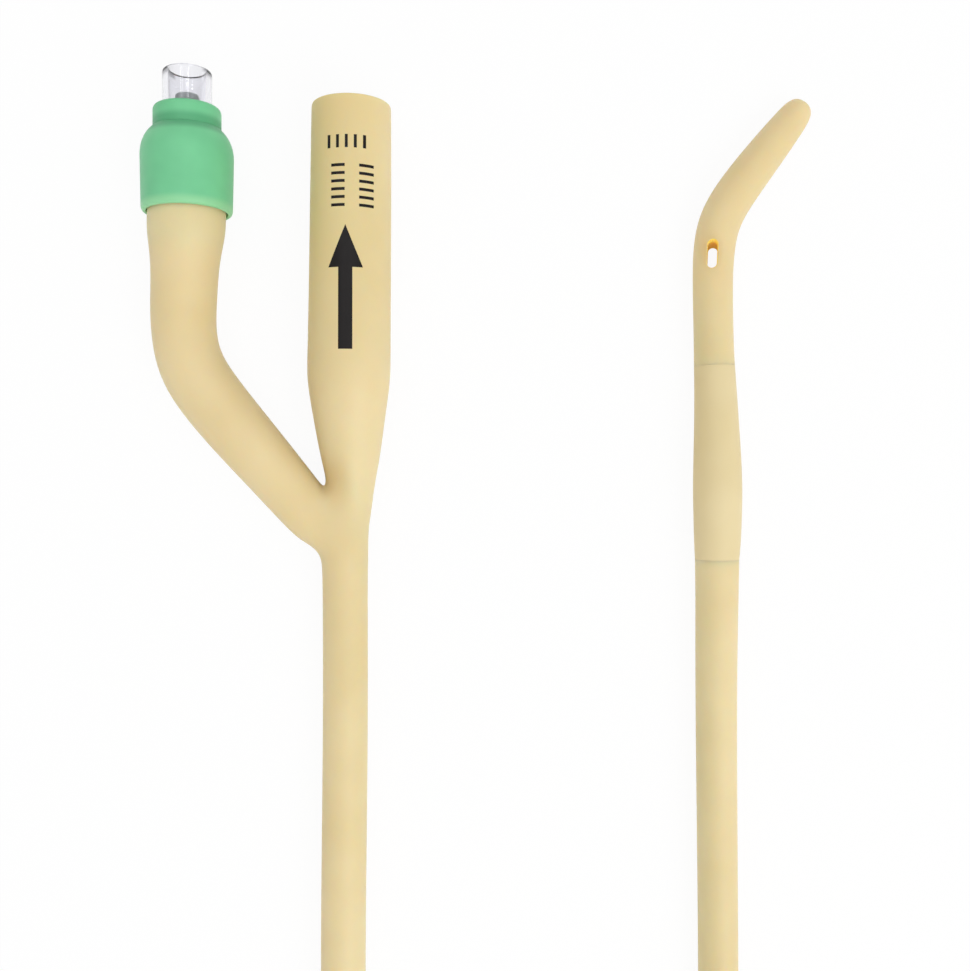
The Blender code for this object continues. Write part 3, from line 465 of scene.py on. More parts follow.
def funnel_stations(s):
    """Distance from the drain mouth, and radius, down to the fork."""
    taper = s.funnel_reach - s.funnel_straight

    def tapered(kept):
        return s.funnel_foot_radius + kept * (s.funnel_brim_radius - s.funnel_foot_radius)

    return [
        (1.2 * s.funnel_edge, s.funnel_mouth_radius),
        (0.30 * s.funnel_straight, 0.3 * s.funnel_mouth_radius + 0.7 * s.funnel_radius),
        (0.62 * s.funnel_straight, s.funnel_radius),
        (0.93 * s.funnel_straight, 0.5 * (s.funnel_radius + s.funnel_brim_radius)),
        (s.funnel_straight + 0.05 * taper, s.funnel_brim_radius),
        (s.funnel_straight + 0.17 * taper, tapered(0.84)),
        (s.funnel_straight + 0.33 * taper, tapered(0.60)),
        (s.funnel_straight + 0.50 * taper, tapered(0.33)),
        (s.funnel_straight + 0.61 * taper, tapered(0.08)),
    ]


def sleeve_span(s):
    """Where the balloon's sleeve starts and ends, from the drain mouth."""
    high = s.overall_length - s.sleeve_from_tip
    return high - s.sleeve_length, high


def shaft_stations(s):
    """Distance from the drain mouth, and radius, from below the fork to the balloon."""
    first, last = s.funnel_reach + 1.1 * s.fork_shaft_radius, sleeve_span(s)[0]
    return [
        (first, s.fork_shaft_radius),
        (first + s.stout_length, s.fork_shaft_radius),
        (first + 1.8 * s.stout_length, 0.5 * (s.fork_shaft_radius + s.shaft_radius)),
        (last - 1.8 * s.sleeve_length, s.shaft_radius),
        (last - 0.7 * s.sleeve_length, 0.7 * s.shaft_radius + 0.3 * s.sleeve_far_radius),
        (last - 0.2 * s.sleeve_length, 0.3 * s.shaft_radius + 0.7 * s.sleeve_far_radius),
        (last - 4 * s.waist_step, s.sleeve_far_radius),
    ]


def head_stations(s):
    """Distance from the drain mouth, and radius, from the balloon to the end of the tip."""
    bend_length = s.tip_bend_radius * s.tip_angle
    placed = [
        (s.sleeve_from_tip - 4 * s.waist_step, s.sleeve_near_radius),
        (s.sleeve_from_tip - 16 * s.waist_step, s.head_radius),
        (s.eye_from_tip + s.eye_length, s.head_radius),
        (s.eye_from_tip - 0.2 * s.eye_length, 0.4 * s.head_radius + 0.6 * s.elbow_radius),
        (s.tip_length + 0.55 * bend_length, s.elbow_radius),
        (s.tip_length + 0.05 * bend_length, s.elbow_radius),
        (0.55 * s.tip_length, 0.6 * s.elbow_radius + 0.4 * s.tip_radius),
        (1.3 * s.tip_radius, s.tip_radius),
    ]
    return [(s.overall_length - back, radius) for back, radius in placed]


def sleeve_stations(s):
    """Share of the sleeve's length from its end beside the fork, and outside radius."""
    near, far, full = s.sleeve_near_radius, s.sleeve_far_radius, s.balloon_radius
    return [
        (0.0, far),
        (0.10, 0.5 * (full + far)),
        (0.22, 0.18 * far + 0.82 * full),
        (0.34, full),
        (0.46, 0.08 * near + 0.92 * full),
        (0.64, 0.40 * near + 0.60 * full),
        (0.88, 0.83 * near + 0.17 * full),
        (1.0, near),
    ]


def outer_stations(s):
    """Radius of what the tube rests on, which is the height of its axis."""
    low = sleeve_span(s)[0]
    sleeve = [(low + part * s.sleeve_length, radius) for part, radius in sleeve_stations(s)]
    return funnel_stations(s) + shaft_stations(s) + sleeve + head_stations(s)


def collar_top(s):
    return s.luer_rim_height - s.luer_above_collar


def boot_lip_y(s):
    return collar_top(s) - s.boot_length


def flange_top(s):
    return collar_top(s) - s.boot_wall_at_roof - s.fit_gap


def arm_end_y(s):
    return flange_top(s) - s.flange_thickness - s.fit_gap


def spigot_end(s):
    return flange_top(s) - s.flange_thickness - s.spigot_length


def arm_tangent(s):
    """From the bend's ends to where the arm's straight and slanted parts would meet."""
    return s.arm_bend_radius * math.tan(s.arm_angle / 2)


def arm_route(s):
    """The arm's axis from the valve to the fork. It comes down to the surface below the spigot."""
    bend_y = s.arm_spacing / math.tan(s.arm_angle) + arm_tangent(s)
    centre = (-s.arm_spacing + s.arm_bend_radius, bend_y)
    straight_y = bend_y + 0.4 * s.arm_radius
    points = [(-s.valve_side, y, s.boot_radius) for y in (arm_end_y(s), boot_lip_y(s))]
    for way, drift, drop in ARM_DRIFT:
        x = -s.valve_side - drift * (s.arm_spacing - s.valve_side)
        y = spigot_end(s) + way * (straight_y - spigot_end(s))
        points.append((x, y, s.boot_radius - drop * (s.boot_radius - 1.1 * s.arm_radius)))
    for x, y in arc(centre, s.arm_bend_radius, math.pi, math.pi + s.arm_angle)[1:]:
        points.append((x, y, s.arm_elbow_radius))
    slant = np.array([-math.sin(s.arm_angle), math.cos(s.arm_angle)])
    slant_length = s.arm_spacing / math.sin(s.arm_angle) - arm_tangent(s)
    for part, height in ((0.66, s.arm_radius), (0.33, s.arm_root_radius), (0.0, s.fork_shaft_radius)):
        points.append((*(slant * slant_length * part), height))
    return Route(natural_spline(points))


def arm_stations(s, route):
    """Distance from the arm's end inside the boot, and radius."""
    lip = arm_end_y(s) - boot_lip_y(s)
    slant = route.length - s.arm_spacing / math.sin(s.arm_angle) + arm_tangent(s)
    elbow = slant - s.arm_bend_radius * s.arm_angle
    straight = elbow - lip - s.arm_flare
    root = route.length - s.branch_base

    def flared(kept):
        return s.arm_radius + kept * (s.arm_end_radius - s.arm_radius)

    def rooted(way):
        """A station this share of the way down the slanted part."""
        radius = s.arm_radius + min(1.0, 1.25 * way - 0.175) * (s.arm_root_radius - s.arm_radius)
        return (1 - way) * slant + way * root, radius

    return [
        (2 * s.funnel_edge, s.arm_end_radius),
        (lip + 0.12 * s.arm_flare, s.arm_end_radius),
        (lip + 0.40 * s.arm_flare, flared(0.88)),
        (lip + 0.62 * s.arm_flare, flared(0.56)),
        (lip + s.arm_flare, flared(0.14)),
        (lip + s.arm_flare + 0.5 * straight, 0.5 * (s.arm_radius + s.arm_elbow_radius)),
        (elbow, s.arm_radius),
        (0.5 * (elbow + slant), s.arm_elbow_radius),
        (slant, s.arm_elbow_radius),
        (0.66 * slant + 0.34 * root, 0.9 * s.arm_radius + 0.1 * s.arm_root_radius),
        (0.40 * slant + 0.60 * root, 0.5 * (s.arm_radius + s.arm_root_radius)),
        (0.14 * slant + 0.86 * root, 0.1 * s.arm_radius + 0.9 * s.arm_root_radius),
    ]


def cage_scale(levels):
    """Share of its radius that a ring keeps when it is smoothed this many times."""
    kept, sides = 1.0, RING_SIDES
    for _ in range(levels):
        kept *= (3 + math.cos(2 * math.pi / sides)) / 4
        sides *= 2
    return kept


def ring_points(centre, side, across, up, sides=RING_SIDES):
    """A ring whose first point is to the right of travel and whose quarter point is on top."""
    angles = 2 * math.pi * np.arange(sides) / sides
    return [centre + side * across * math.cos(a) + UP * up * math.sin(a) for a in angles]


def add_ring(shape, points):
    return [shape.verts.new(point) for point in points]


def bridge(shape, first, second):
    for i in range(len(first)):
        shape.faces.new((first[i - 1], first[i], second[i], second[i - 1]))


def finish_mesh(s, name, shape, material=None, sharp=40):
    """An object from this layout shape, moved to the fork's place in the frame."""
    bmesh.ops.recalc_face_normals(shape, faces=shape.faces)
    bmesh.ops.translate(shape, vec=s.fork, verts=shape.verts)
    mesh = bpy.data.meshes.new(name)
    shape.to_mesh(mesh)
    shape.free()
    mesh.shade_smooth()
    mesh.set_sharp_from_angle(angle=math.radians(sharp))
    if material:
        mesh.materials.append(material)
    obj = bpy.data.objects.new(name, mesh)
    bpy.context.scene.collection.objects.link(obj)
    return obj


def bake_modifiers(obj, sharp=40):
    """Makes the object's modifiers part of its mesh."""
    bpy.context.view_layer.update()
    graph = bpy.context.evaluated_depsgraph_get()
    mesh = bpy.data.meshes.new_from_object(obj.evaluated_get(graph))
    obj.modifiers.clear()
    obj.data = mesh
    mesh.shade_smooth()
    mesh.set_sharp_from_angle(angle=math.radians(sharp))


def cut_away(obj, cutters, sharp=40):
    """Takes the cutters' shapes out of the object, whose new walls get the cutters' material, and
    deletes the cutters."""
    for cutter in cutters:
        modifier = obj.modifiers.new(cutter.name, "BOOLEAN")
        modifier.operation = "DIFFERENCE"
        modifier.material_mode = "TRANSFER"
        modifier.object = cutter
    bake_modifiers(obj, sharp)
    for cutter in cutters:
        bpy.data.objects.remove(cutter, do_unlink=True)


def loft(s, name, route, stations, offset, sides, material):
    """A closed tube that follows a route at an offset to its right."""
    shape = bmesh.new()
    rings = []
    for distance, radius in stations:
        inside = min(max(distance, 0.0), route.length)
        side = route.side(inside)
        centre = route.at(inside) + side * offset
        centre[:2] += route.heading(inside) * (distance - inside)
        rings.append(add_ring(shape, ring_points(centre, side, radius, radius, sides)))
    for first, second in zip(rings, rings[1:]):
        bridge(shape, first, second)
    shape.faces.new(rings[0])
    shape.faces.new(rings[-1])
    return finish_mesh(s, name, shape, material)


def hairpin_span(s, route):
    """The distances between which the tube heads more than ten degrees away from the legs."""
    along_legs = math.cos(math.radians(10))
    shaft = spaced(s.funnel_reach, sleeve_span(s)[0], 0.002)
    turning = [d for d in shaft if abs(route.heading(d)[1]) < along_legs]
    return min(turning), max(turning)


def body_stations(s, route):
    """Rings of the shaft from the fork to the tip, with the waist that the balloon's sleeve lies in.
    Two rings at one distance make a crisp step."""
    turn_start, turn_end = hairpin_span(s, route)
    named = shaft_stations(s)
    distances, radii = zip(*named)
    plain = spaced(distances[0], turn_start, RING_STEP)
    plain += spaced(turn_start, turn_end, TURN_RING_STEP)[1:]
    plain += spaced(turn_end, distances[-4], RING_STEP)[1:]
    shaft = [(d, np.interp(d, distances, radii)) for d in plain] + named[-3:]
    low, high = sleeve_span(s)
    waist = [
        (low, s.sleeve_far_radius),
        (low, s.waist_radius),
        (low + 0.33 * s.sleeve_length, s.waist_radius),
        (low + 0.66 * s.sleeve_length, s.waist_radius),
        (high, s.waist_radius),
        (high, s.sleeve_near_radius),
    ]
    return shaft + waist + head_stations(s)


def body_cage(s, route, arm):
    """The moulded body as a coarse cage: two branch tubes, a split ring at the fork, and the shaft."""
    shape = bmesh.new()
    crisp = shape.edges.layers.float.new("crease_edge")
    grow = 1 / cage_scale(SKIN_LEVELS)

    def tube(on, stations):
        rings = []
        for distance, radius in stations:
            points = ring_points(on.at(distance), on.side(distance), radius * grow, radius * grow)
            rings.append(add_ring(shape, points))
        return rings

    def capped(on, radius):
        """A flat end with a small round edge: an inner ring, then the edge ring in the same plane."""
        inner, edge = tube(on, [(0.0, radius - 1.3 * s.funnel_edge), (0.0, radius)])
        shape.faces.new(inner)
        return [inner, edge]

    drain = capped(route, s.funnel_mouth_radius) + tube(route, funnel_stations(s))
    branch = capped(arm, s.arm_end_radius) + tube(arm, arm_stations(s, arm))
    fork = fork_rings(s, shape, route, arm, grow)
    for rings, base in ((drain, fork["funnel_base"]), (branch, fork["arm_base"])):
        for first, second in zip(rings, rings[1:] + [base]):
            bridge(shape, first, second)

    end = s.overall_length
    nose = [(end - 0.45 * s.tip_radius, 0.86 * s.tip_radius), (end, 0.5 * s.tip_radius)]
    stations = body_stations(s, route) + nose
    shaft = tube(route, stations)
    lower = [fork["split"]] + fork["joined"] + shaft
    for first, second in zip(lower, lower[1:]):
        bridge(shape, first, second)
    shape.faces.new(lower[-1])
    for here, after, first, second in zip(stations, stations[1:], shaft, shaft[1:]):
        if here[0] == after[0]:
            for ring in (first, second):
                for i in range(RING_SIDES):
                    shape.edges.get((ring[i - 1], ring[i]))[crisp] = 1.0
    return shape


def fork_rings(s, shape, route, arm, grow):
    """The split ring, the rings below it, and the two base rings that share the cleft."""
    arm_at = arm.length - s.branch_base
    funnel_at = s.funnel_reach - s.funnel_base
    height = 0.5 * (s.fork_shaft_radius + s.arm_root_radius)
    valley = s.valley_share * s.fork_shaft_radius * grow
    valley_point = np.array([-s.valley_side, s.valley_height, height])
    crotch_point = np.array([-s.crotch_side, s.crotch_height, height])
    branches = (
        (arm.at(arm_at), arm.side(arm_at), s.arm_root_radius, (0, 1, 2, 11, 10)),
        (route.at(funnel_at), -route.side(funnel_at), s.funnel_foot_radius, (6, 5, 4, 7, 8)),
    )
    outer = {3: valley_point + UP * valley, 9: valley_point - UP * valley}
    for centre, side, radius, places in branches:
        for place, degrees in zip(places, (0, 37, 74, -37, -74)):
            a = math.radians(degrees)
            outer[place] = centre + (side * math.cos(a) + UP * math.sin(a)) * radius * grow
    split = add_ring(shape, [outer[i] for i in range(RING_SIDES)])

    cleft = []
    for degrees in (60, 30, 0, -30, -60):
        a = math.radians(degrees)
        point = valley_point + (crotch_point - valley_point) * math.cos(a) + UP * valley * math.sin(a)
        cleft.append(shape.verts.new(point))

    joined, tall = [], s.fork_thickness * grow
    for side, up_shaft, half_width, tilt in FORK_SECTIONS:
        centre = np.array([side, up_shaft, s.fork_thickness])
        across = np.array([-math.cos(tilt), -math.sin(tilt), 0.0])
        joined.append(add_ring(shape, ring_points(centre, across, half_width * grow, tall)))
    top, bottom = split[3], split[9]
    return {
        "split": split,
        "joined": joined,
        "arm_base": split[:3] + [top] + cleft + [bottom] + split[10:],
        "funnel_base": [cleft[2], cleft[1], cleft[0], top] + split[4:9] + [bottom, cleft[4], cleft[3]],
    }


def drain_bore(s):
    """The funnel's bore with a rounded mouth, and the taper from it to the drain lumen."""
    wide, depth = s.funnel_bore_radius, s.funnel_bore_depth
    rounded = curve_points((0.0, wide + s.bore_round), (0.0, wide), (s.bore_round, wide), 6)
    return [(-0.002, wide + s.bore_round)] + rounded[1:] + [
        (depth, 0.92 * wide),
        (0.75 * depth + 0.25 * s.funnel_reach, 0.72 * wide),
        (0.25 * depth + 0.75 * s.funnel_reach, 1.2 * s.lumen_radius),
        (s.funnel_reach - s.lumen_radius, 0.8 * s.lumen_radius),
    ]


def drain_lumen(s, route):
    """The drain lumen, from inside the bore's taper to the far end of the eyes."""
    turn_start, turn_end = hairpin_span(s, route)
    end = s.overall_length - s.eye_from_tip + 0.46 * s.eye_length
    distances = spaced(s.funnel_reach - 4 * s.lumen_radius, turn_start, LUMEN_STEP)
    distances += spaced(turn_start, turn_end, TURN_LUMEN_STEP)[1:]
    distances += spaced(turn_end, end, LUMEN_STEP)[1:]
    return [(d, s.lumen_radius) for d in distances]


def arm_socket(s):
    """The arm's socket, and the cone from it down to the inflation lumen."""
    radius, depth = s.barb_radius + s.fit_gap, arm_end_y(s) - spigot_end(s) + 2 * s.fit_gap
    return [
        (-0.002, radius),
        (depth, radius),
        (depth + 0.6 * s.socket_cone, 0.45 * radius),
        (depth + 1.2 * s.socket_cone, 1.5 * s.inflation_radius),
    ]


def eye_axes(s, route):
    """Middle, up, across and along of the pair of eyes."""
    distance = s.overall_length - s.eye_from_tip
    side = Vector(route.side(distance))
    centre = Vector(route.at(distance)) - side * s.lumen_offset * 0.25
    ahead = Vector((*route.heading(distance), 0.0))
    turn = Matrix.Rotation(-s.eye_turn, 3, ahead)
    return centre, turn @ Vector(UP), turn @ side, ahead


def eye_cutter(s, route, material):
    """A slot with round ends through both walls, which opens a little towards the skin."""
    centre, up, across, ahead = eye_axes(s, route)
    high = [(s.head_radius + rise, opened) for rise, opened in EYE_FLARE]
    levels = [(-rise, opened) for rise, opened in reversed(high)] + high
    half = (s.eye_length - s.eye_width) / 2
    shape = bmesh.new()
    rings = []
    for rise, opened in levels:
        radius = s.eye_width / 2 + opened
        outline = []
        for end, first in ((half, 0.0), (-half, math.pi)):
            for a in np.linspace(first, first + math.pi, 17):
                corner = across * radius * math.cos(a) + ahead * (end + radius * math.sin(a))
                outline.append(centre + corner + up * rise)
        rings.append(add_ring(shape, outline))
    for first, second in zip(rings, rings[1:]):
        bridge(shape, first, second)
    shape.faces.new(rings[0])
    shape.faces.new(rings[-1])
    return finish_mesh(s, "eye_cutter", shape, material)


def sink_eyes(s, route, obj):
    """Sinks the wall softly round both eyes."""
    centre, up, across, ahead = eye_axes(s, route)
    for vertex in obj.data.vertices:
        offset = vertex.co - centre - s.fork
        along, sideways, rise = offset.dot(ahead), offset.dot(across), offset.dot(up)
        if abs(along) < 2.2 * s.eye_length and abs(sideways) < 2 * s.head_radius:
            reach = (along / (0.72 * s.eye_length)) ** 2 + (sideways / (1.35 * s.eye_width)) ** 2
            vertex.co -= up * math.copysign(s.eye_dimple * math.exp(-reach), rise)


def curve_points(first, control, last, steps):
    """Points on a curve that leaves first towards control and reaches last from it."""
    first, control, last = (np.array(p) for p in (first, control, last))
    return [
        tuple((1 - t) ** 2 * first + 2 * t * (1 - t) * control + t**2 * last)
        for t in np.linspace(0, 1, steps)
    ]


def rounded_profile(profile, radius, steps=4, least=35):
    """The closed profile with each corner sharper than this many degrees rounded off."""
    points = [np.array(p) for p in profile]
    result = []
    for i, here in enumerate(points):
        before, after = points[i - 1] - here, points[(i + 1) % len(points)] - here
        shortest = min(np.linalg.norm(before), np.linalg.norm(after))
        before, after = before / np.linalg.norm(before), after / np.linalg.norm(after)
        turn = math.degrees(math.pi - math.acos(max(-1.0, min(1.0, float(before @ after)))))
        if turn < least or here[0] == 0.0:
            result.append(tuple(here))
        else:
            back = min(radius, 0.45 * shortest)
            result += curve_points(here + before * back, here, here + after * back, steps)
    return result


def held_profile(profile, reach=0.00006):
    """The closed profile with a point just inside both ends of each long edge, so that flats and
    straight sides shade as such."""
    result = []
    for i, here in enumerate(profile):
        after = profile[(i + 1) % len(profile)]
        span = math.dist(here, after)
        result.append(here)
        if span > 5 * reach:
            for part in (reach / span, 1 - reach / span):
                result.append(tuple(a + part * (b - a) for a, b in zip(here, after)))
    return result


def turned(s, name, profile, material, sides=ROUND_SIDES, sharp=40):
    """A piece turned about the valve's axis from a closed profile of (radius, height) points."""
    shape = bmesh.new()
    axis = Vector((-s.valve_side, 0.0, s.boot_radius))
    points = [shape.verts.new(axis + Vector((r, height, 0.0))) for r, height in held_profile(profile)]
    edges = [shape.edges.new((points[i - 1], points[i])) for i in range(len(points))]
    bmesh.ops.spin(
        shape,
        geom=points + edges,
        cent=axis,
        axis=(0.0, 1.0, 0.0),
        angle=2 * math.pi,
        steps=sides,
        use_merge=True,
    )
    bmesh.ops.remove_doubles(shape, verts=shape.verts, dist=1e-6)
    return finish_mesh(s, name, shape, material, sharp)


def add_node(tree, kind, inputs=(), output=0, **settings):
    """Adds a shader node. Each input is a plain value or another node's socket; one of the new
    node's output sockets comes back."""
    node = tree.nodes.new("ShaderNode" + kind)
    for name, value in settings.items():
        setattr(node, name, value)
    for key, value in dict(inputs).items():
        if isinstance(value, bpy.types.NodeSocket):
            tree.links.new(value, node.inputs[key])
        else:
            node.inputs[key].default_value = value
    return node.outputs[output]


def rgba(tone):
    return (*tone, 1.0)


def grained(name, tone, deep, cloud, roughness, grain, relief):
    """A material whose tone drifts in soft clouds of this size, with a fine grain of this size in its
    relief and in its gloss. Sizes are in metres. Its place, colour and gloss sockets come back with it,
    for what is laid over them."""
    material = bpy.data.materials.new(name)
    material.use_nodes = True
    tree = material.node_tree
    shader = tree.nodes["Principled BSDF"]
    place = add_node(tree, "TexCoord", output="Object")
    clouds = add_node(tree, "TexNoise", {"Vector": place, "Scale": 1 / cloud})
    drift = add_node(tree, "MapRange", {"Value": clouds, "From Min": 0.35, "From Max": 0.65})
    tint = add_node(tree, "Mix", {0: drift, 6: rgba(tone), 7: rgba(deep)}, 2, data_type="RGBA")
    fine = add_node(tree, "TexNoise", {"Vector": place, "Scale": 1 / grain, "Detail": 3.0})
    range_of = {"From Min": 0.3, "From Max": 0.7, "To Min": roughness - 0.05, "To Max": roughness + 0.05}
    gloss = add_node(tree, "MapRange", {"Value": fine, **range_of})
    bump = add_node(tree, "Bump", {"Height": fine, "Strength": 0.1, "Distance": relief})
    tree.links.new(tint, shader.inputs["Base Color"])
    tree.links.new(gloss, shader.inputs["Roughness"])
    tree.links.new(bump, shader.inputs["Normal"])
    return SimpleNamespace(
        material=material, tree=tree, shader=shader, place=place, tint=tint, gloss=gloss
    )


def block(tree, x, y, centre, half_width, half_length):
    """1 inside a block of this size round its centre, and 0 outside."""
    across = add_node(tree, "Math", {0: x, 1: centre[0], 2: half_width}, operation="COMPARE")
    along = add_node(tree, "Math", {0: y, 1: centre[1], 2: half_length}, operation="COMPARE")
    return add_node(tree, "Math", {0: across, 1: along}, operation="MULTIPLY")


def ticks(tree, along, pitch, tick, within):
    """1 on thin lines at this pitch, inside the block that is given."""
    beat = add_node(tree, "Math", {0: along, 1: pitch / 2}, operation="PINGPONG")
    line = add_node(tree, "Math", {0: beat, 1: tick}, operation="LESS_THAN")
    return add_node(tree, "Math", {0: line, 1: within}, operation="MULTIPLY")


def flow_marks(s, tree, place):
    """Plain marks on the funnel's top: a flow arrow to the mouth, two scales and a row of ticks."""
    from_fork = add_node(tree, "VectorMath", {0: place, 1: s.fork}, operation="SUBTRACT")
    split = add_node(tree, "SeparateXYZ", {"Vector": from_fork}).node.outputs
    x, y, z = split[0], split[1], split[2]
    stem_half = (s.arrow_neck - s.arrow_foot) / 2
    stem = block(tree, x, y, (s.mark_middle, s.arrow_foot + stem_half), s.arrow_stem, stem_half)
    off_middle = add_node(tree, "Math", {0: x, 1: s.mark_middle}, operation="SUBTRACT")
    off_middle = add_node(tree, "Math", {0: off_middle}, operation="ABSOLUTE")
    left_of_point = add_node(tree, "Math", {0: s.arrow_point, 1: y}, operation="SUBTRACT")
    slope = s.arrow_head / (s.arrow_point - s.arrow_neck)
    edge = add_node(tree, "Math", {0: left_of_point, 1: slope}, operation="MULTIPLY")
    inside = add_node(tree, "Math", {0: off_middle, 1: edge}, operation="LESS_THAN")
    past_neck = add_node(tree, "Math", {0: y, 1: s.arrow_neck}, operation="GREATER_THAN")
    marks = [stem, add_node(tree, "Math", {0: inside, 1: past_neck}, operation="MULTIPLY")]
    for middle in (s.scale_left, s.scale_right):
        field = block(tree, x, y, (middle, s.scale_middle), s.scale_width, s.scale_reach)
        marks.append(ticks(tree, y, s.scale_pitch, s.tick, field))
    row = block(tree, x, y, (s.mark_middle, s.row_height), s.row_reach, s.row_width)
    marks.append(ticks(tree, x, s.row_pitch, s.tick, row))
    result = marks[0]
    for mark in marks[1:]:
        result = add_node(tree, "Math", {0: result, 1: mark}, operation="MAXIMUM")
    on_top = add_node(tree, "Math", {0: z, 1: s.funnel_radius}, operation="GREATER_THAN")
    return add_node(tree, "Math", {0: result, 1: on_top}, operation="MULTIPLY")


def soften(shader, weight, depth, spread_of_colours):
    """Lets light into the surface by this weight, to this depth in metres."""
    shader.inputs["Subsurface Weight"].default_value = weight
    shader.inputs["Subsurface Scale"].default_value = depth
    shader.inputs["Subsurface Radius"].default_value = spread_of_colours


def dipped_latex(name, see_through):
    """Natural latex rubber, dipped and cured: an even satin, a little see-through, whose tone drifts
    softly with the thickness of the dip, under a powdery grain."""
    finish = bpy.context.scene.catheter_finish
    # The powder is about 0.02 mm fine, and is drawn at 0.28 mm, because it wouldn't show otherwise.
    latex = grained(
        name, finish.latex, finish.latex_deep, cloud=0.011, roughness=0.46, grain=0.00028, relief=0.00006
    )
    latex.shader.inputs["IOR"].default_value = 1.52
    latex.shader.inputs["Specular IOR Level"].default_value = 0.28  # the powder breaks up its sheen
    soften(latex.shader, see_through, 0.0022, (1.0, 0.62, 0.30))
    return latex


def body_latex(s, eye):
    """Dipped latex of the moulded body: painted shade, with painted green light bounced from the boot,
    over the funnel's wide bore; a painted warm shade and bounce light in the crotch and round the eyes;
    and printed with dark marks that are slightly glossier."""
    finish = bpy.context.scene.catheter_finish
    latex = dipped_latex("natural_latex_dipped_printed", 0.5)
    tree, place, tint = latex.tree, latex.place, latex.tint
    brim, mouth = s.fork.y + s.funnel_reach - s.funnel_straight, s.fork.y + s.funnel_reach
    axes = add_node(tree, "SeparateXYZ", {"Vector": place}).node.outputs
    # Painted shade over the funnel's wide bore, stronger towards the mouth and on the left, with the
    # boot's bounced green light painted in.
    middle = (s.fork.x, 0.5 * (brim + mouth))
    wall = block(tree, axes[0], axes[1], middle, 2 * s.funnel_radius, s.funnel_straight)
    risen = {"Value": axes[1], "From Min": brim - 0.004, "From Max": mouth - 0.012, "To Max": 1.0}
    left, right = s.fork.x - s.funnel_radius, s.fork.x + s.funnel_radius
    inward = {"Value": axes[0], "From Min": left, "From Max": right, "To Min": 1.0, "To Max": 0.25}
    painted_funnel_shade = add_node(tree, "MapRange", risen, interpolation_type="SMOOTHSTEP")
    nearer = add_node(tree, "MapRange", inward)
    painted_funnel_shade = add_node(tree, "Math", {0: painted_funnel_shade, 1: nearer}, operation="MULTIPLY")
    painted_funnel_shade = add_node(tree, "Math", {0: painted_funnel_shade, 1: wall}, operation="MULTIPLY")
    hollow = {0: painted_funnel_shade, 6: tint, 7: rgba(finish.latex_hollow)}
    tint = add_node(tree, "Mix", hollow, 2, data_type="RGBA")
    # Painted warm shade and bounce light, in the crotch and round the eyes.
    crotch = s.fork + Vector((-0.25 * s.crotch_side, 1.15 * s.crotch_height, s.fork_shaft_radius))
    beside_eye = eye + s.fork + Vector((-0.0005, 0.0003, 0.0))
    painted_warm_shades = (  # the middle of a pool, and how far it reaches sideways, along and in height
        (crotch, (0.0028, 0.0055, 0.0070)),
        (beside_eye, (0.0017, 0.0030, 0.0060)),
    )
    for centre, reach in painted_warm_shades:
        offset = add_node(tree, "VectorMath", {0: place, 1: centre}, operation="SUBTRACT")
        offset = add_node(tree, "VectorMath", {0: offset, 1: reach}, operation="DIVIDE")
        away = add_node(tree, "VectorMath", {0: offset}, "Value", operation="LENGTH")
        fade = {"Value": away, "From Min": 0.25, "From Max": 1.0, "To Min": 0.50, "To Max": 0.0}
        pooled = add_node(tree, "MapRange", fade, interpolation_type="SMOOTHSTEP")
        warm_shade_mix = {0: pooled, 6: tint, 7: rgba(finish.latex_warm)}
        tint = add_node(tree, "Mix", warm_shade_mix, 2, data_type="RGBA")
    ink = flow_marks(s, tree, place)
    printed = add_node(tree, "Mix", {0: ink, 6: tint, 7: rgba(finish.ink)}, 2, data_type="RGBA")
    smoother = add_node(tree, "Math", {0: ink, 1: -0.08, 2: latex.gloss}, operation="MULTIPLY_ADD")
    tree.links.new(printed, latex.shader.inputs["Base Color"])
    tree.links.new(smoother, latex.shader.inputs["Roughness"])
    return latex.material


def inner_latex(s, eye):
    """The latex inside the bores and the eyes, matt with powder: the light that gets there has gone
    through a lot of rubber, so it looks deep amber. Round the eyes the wall is thin, and the light
    that comes through it is drawn as a weak glow."""
    finish = bpy.context.scene.catheter_finish
    thin_wall_glow = 0.18
    # The powder is about 0.02 mm fine, and is drawn at 0.3 mm, because it wouldn't show otherwise.
    latex = grained(
        "natural_latex_inner_wall",
        finish.latex_inner,
        finish.latex_warm,
        cloud=0.006,
        roughness=0.70,
        grain=0.0003,
        relief=0.00004,
    )
    tree, shader = latex.tree, latex.shader
    shader.inputs["IOR"].default_value = 1.52
    shader.inputs["Specular IOR Level"].default_value = 0.05  # the powder is thick in there
    soften(shader, 1.0, 0.0035, (1.0, 0.75, 0.22))
    away = add_node(tree, "VectorMath", {0: latex.place, 1: eye + s.fork}, operation="SUBTRACT")
    away = add_node(tree, "VectorMath", {0: away}, "Value", operation="LENGTH")
    fade = {"Value": away, "From Min": s.eye_length, "From Max": 2 * s.eye_length}
    let_through = add_node(tree, "MapRange", {**fade, "To Min": thin_wall_glow, "To Max": 0.0})
    tree.links.new(latex.tint, shader.inputs["Emission Color"])
    tree.links.new(let_through, shader.inputs["Emission Strength"])
    return latex.material


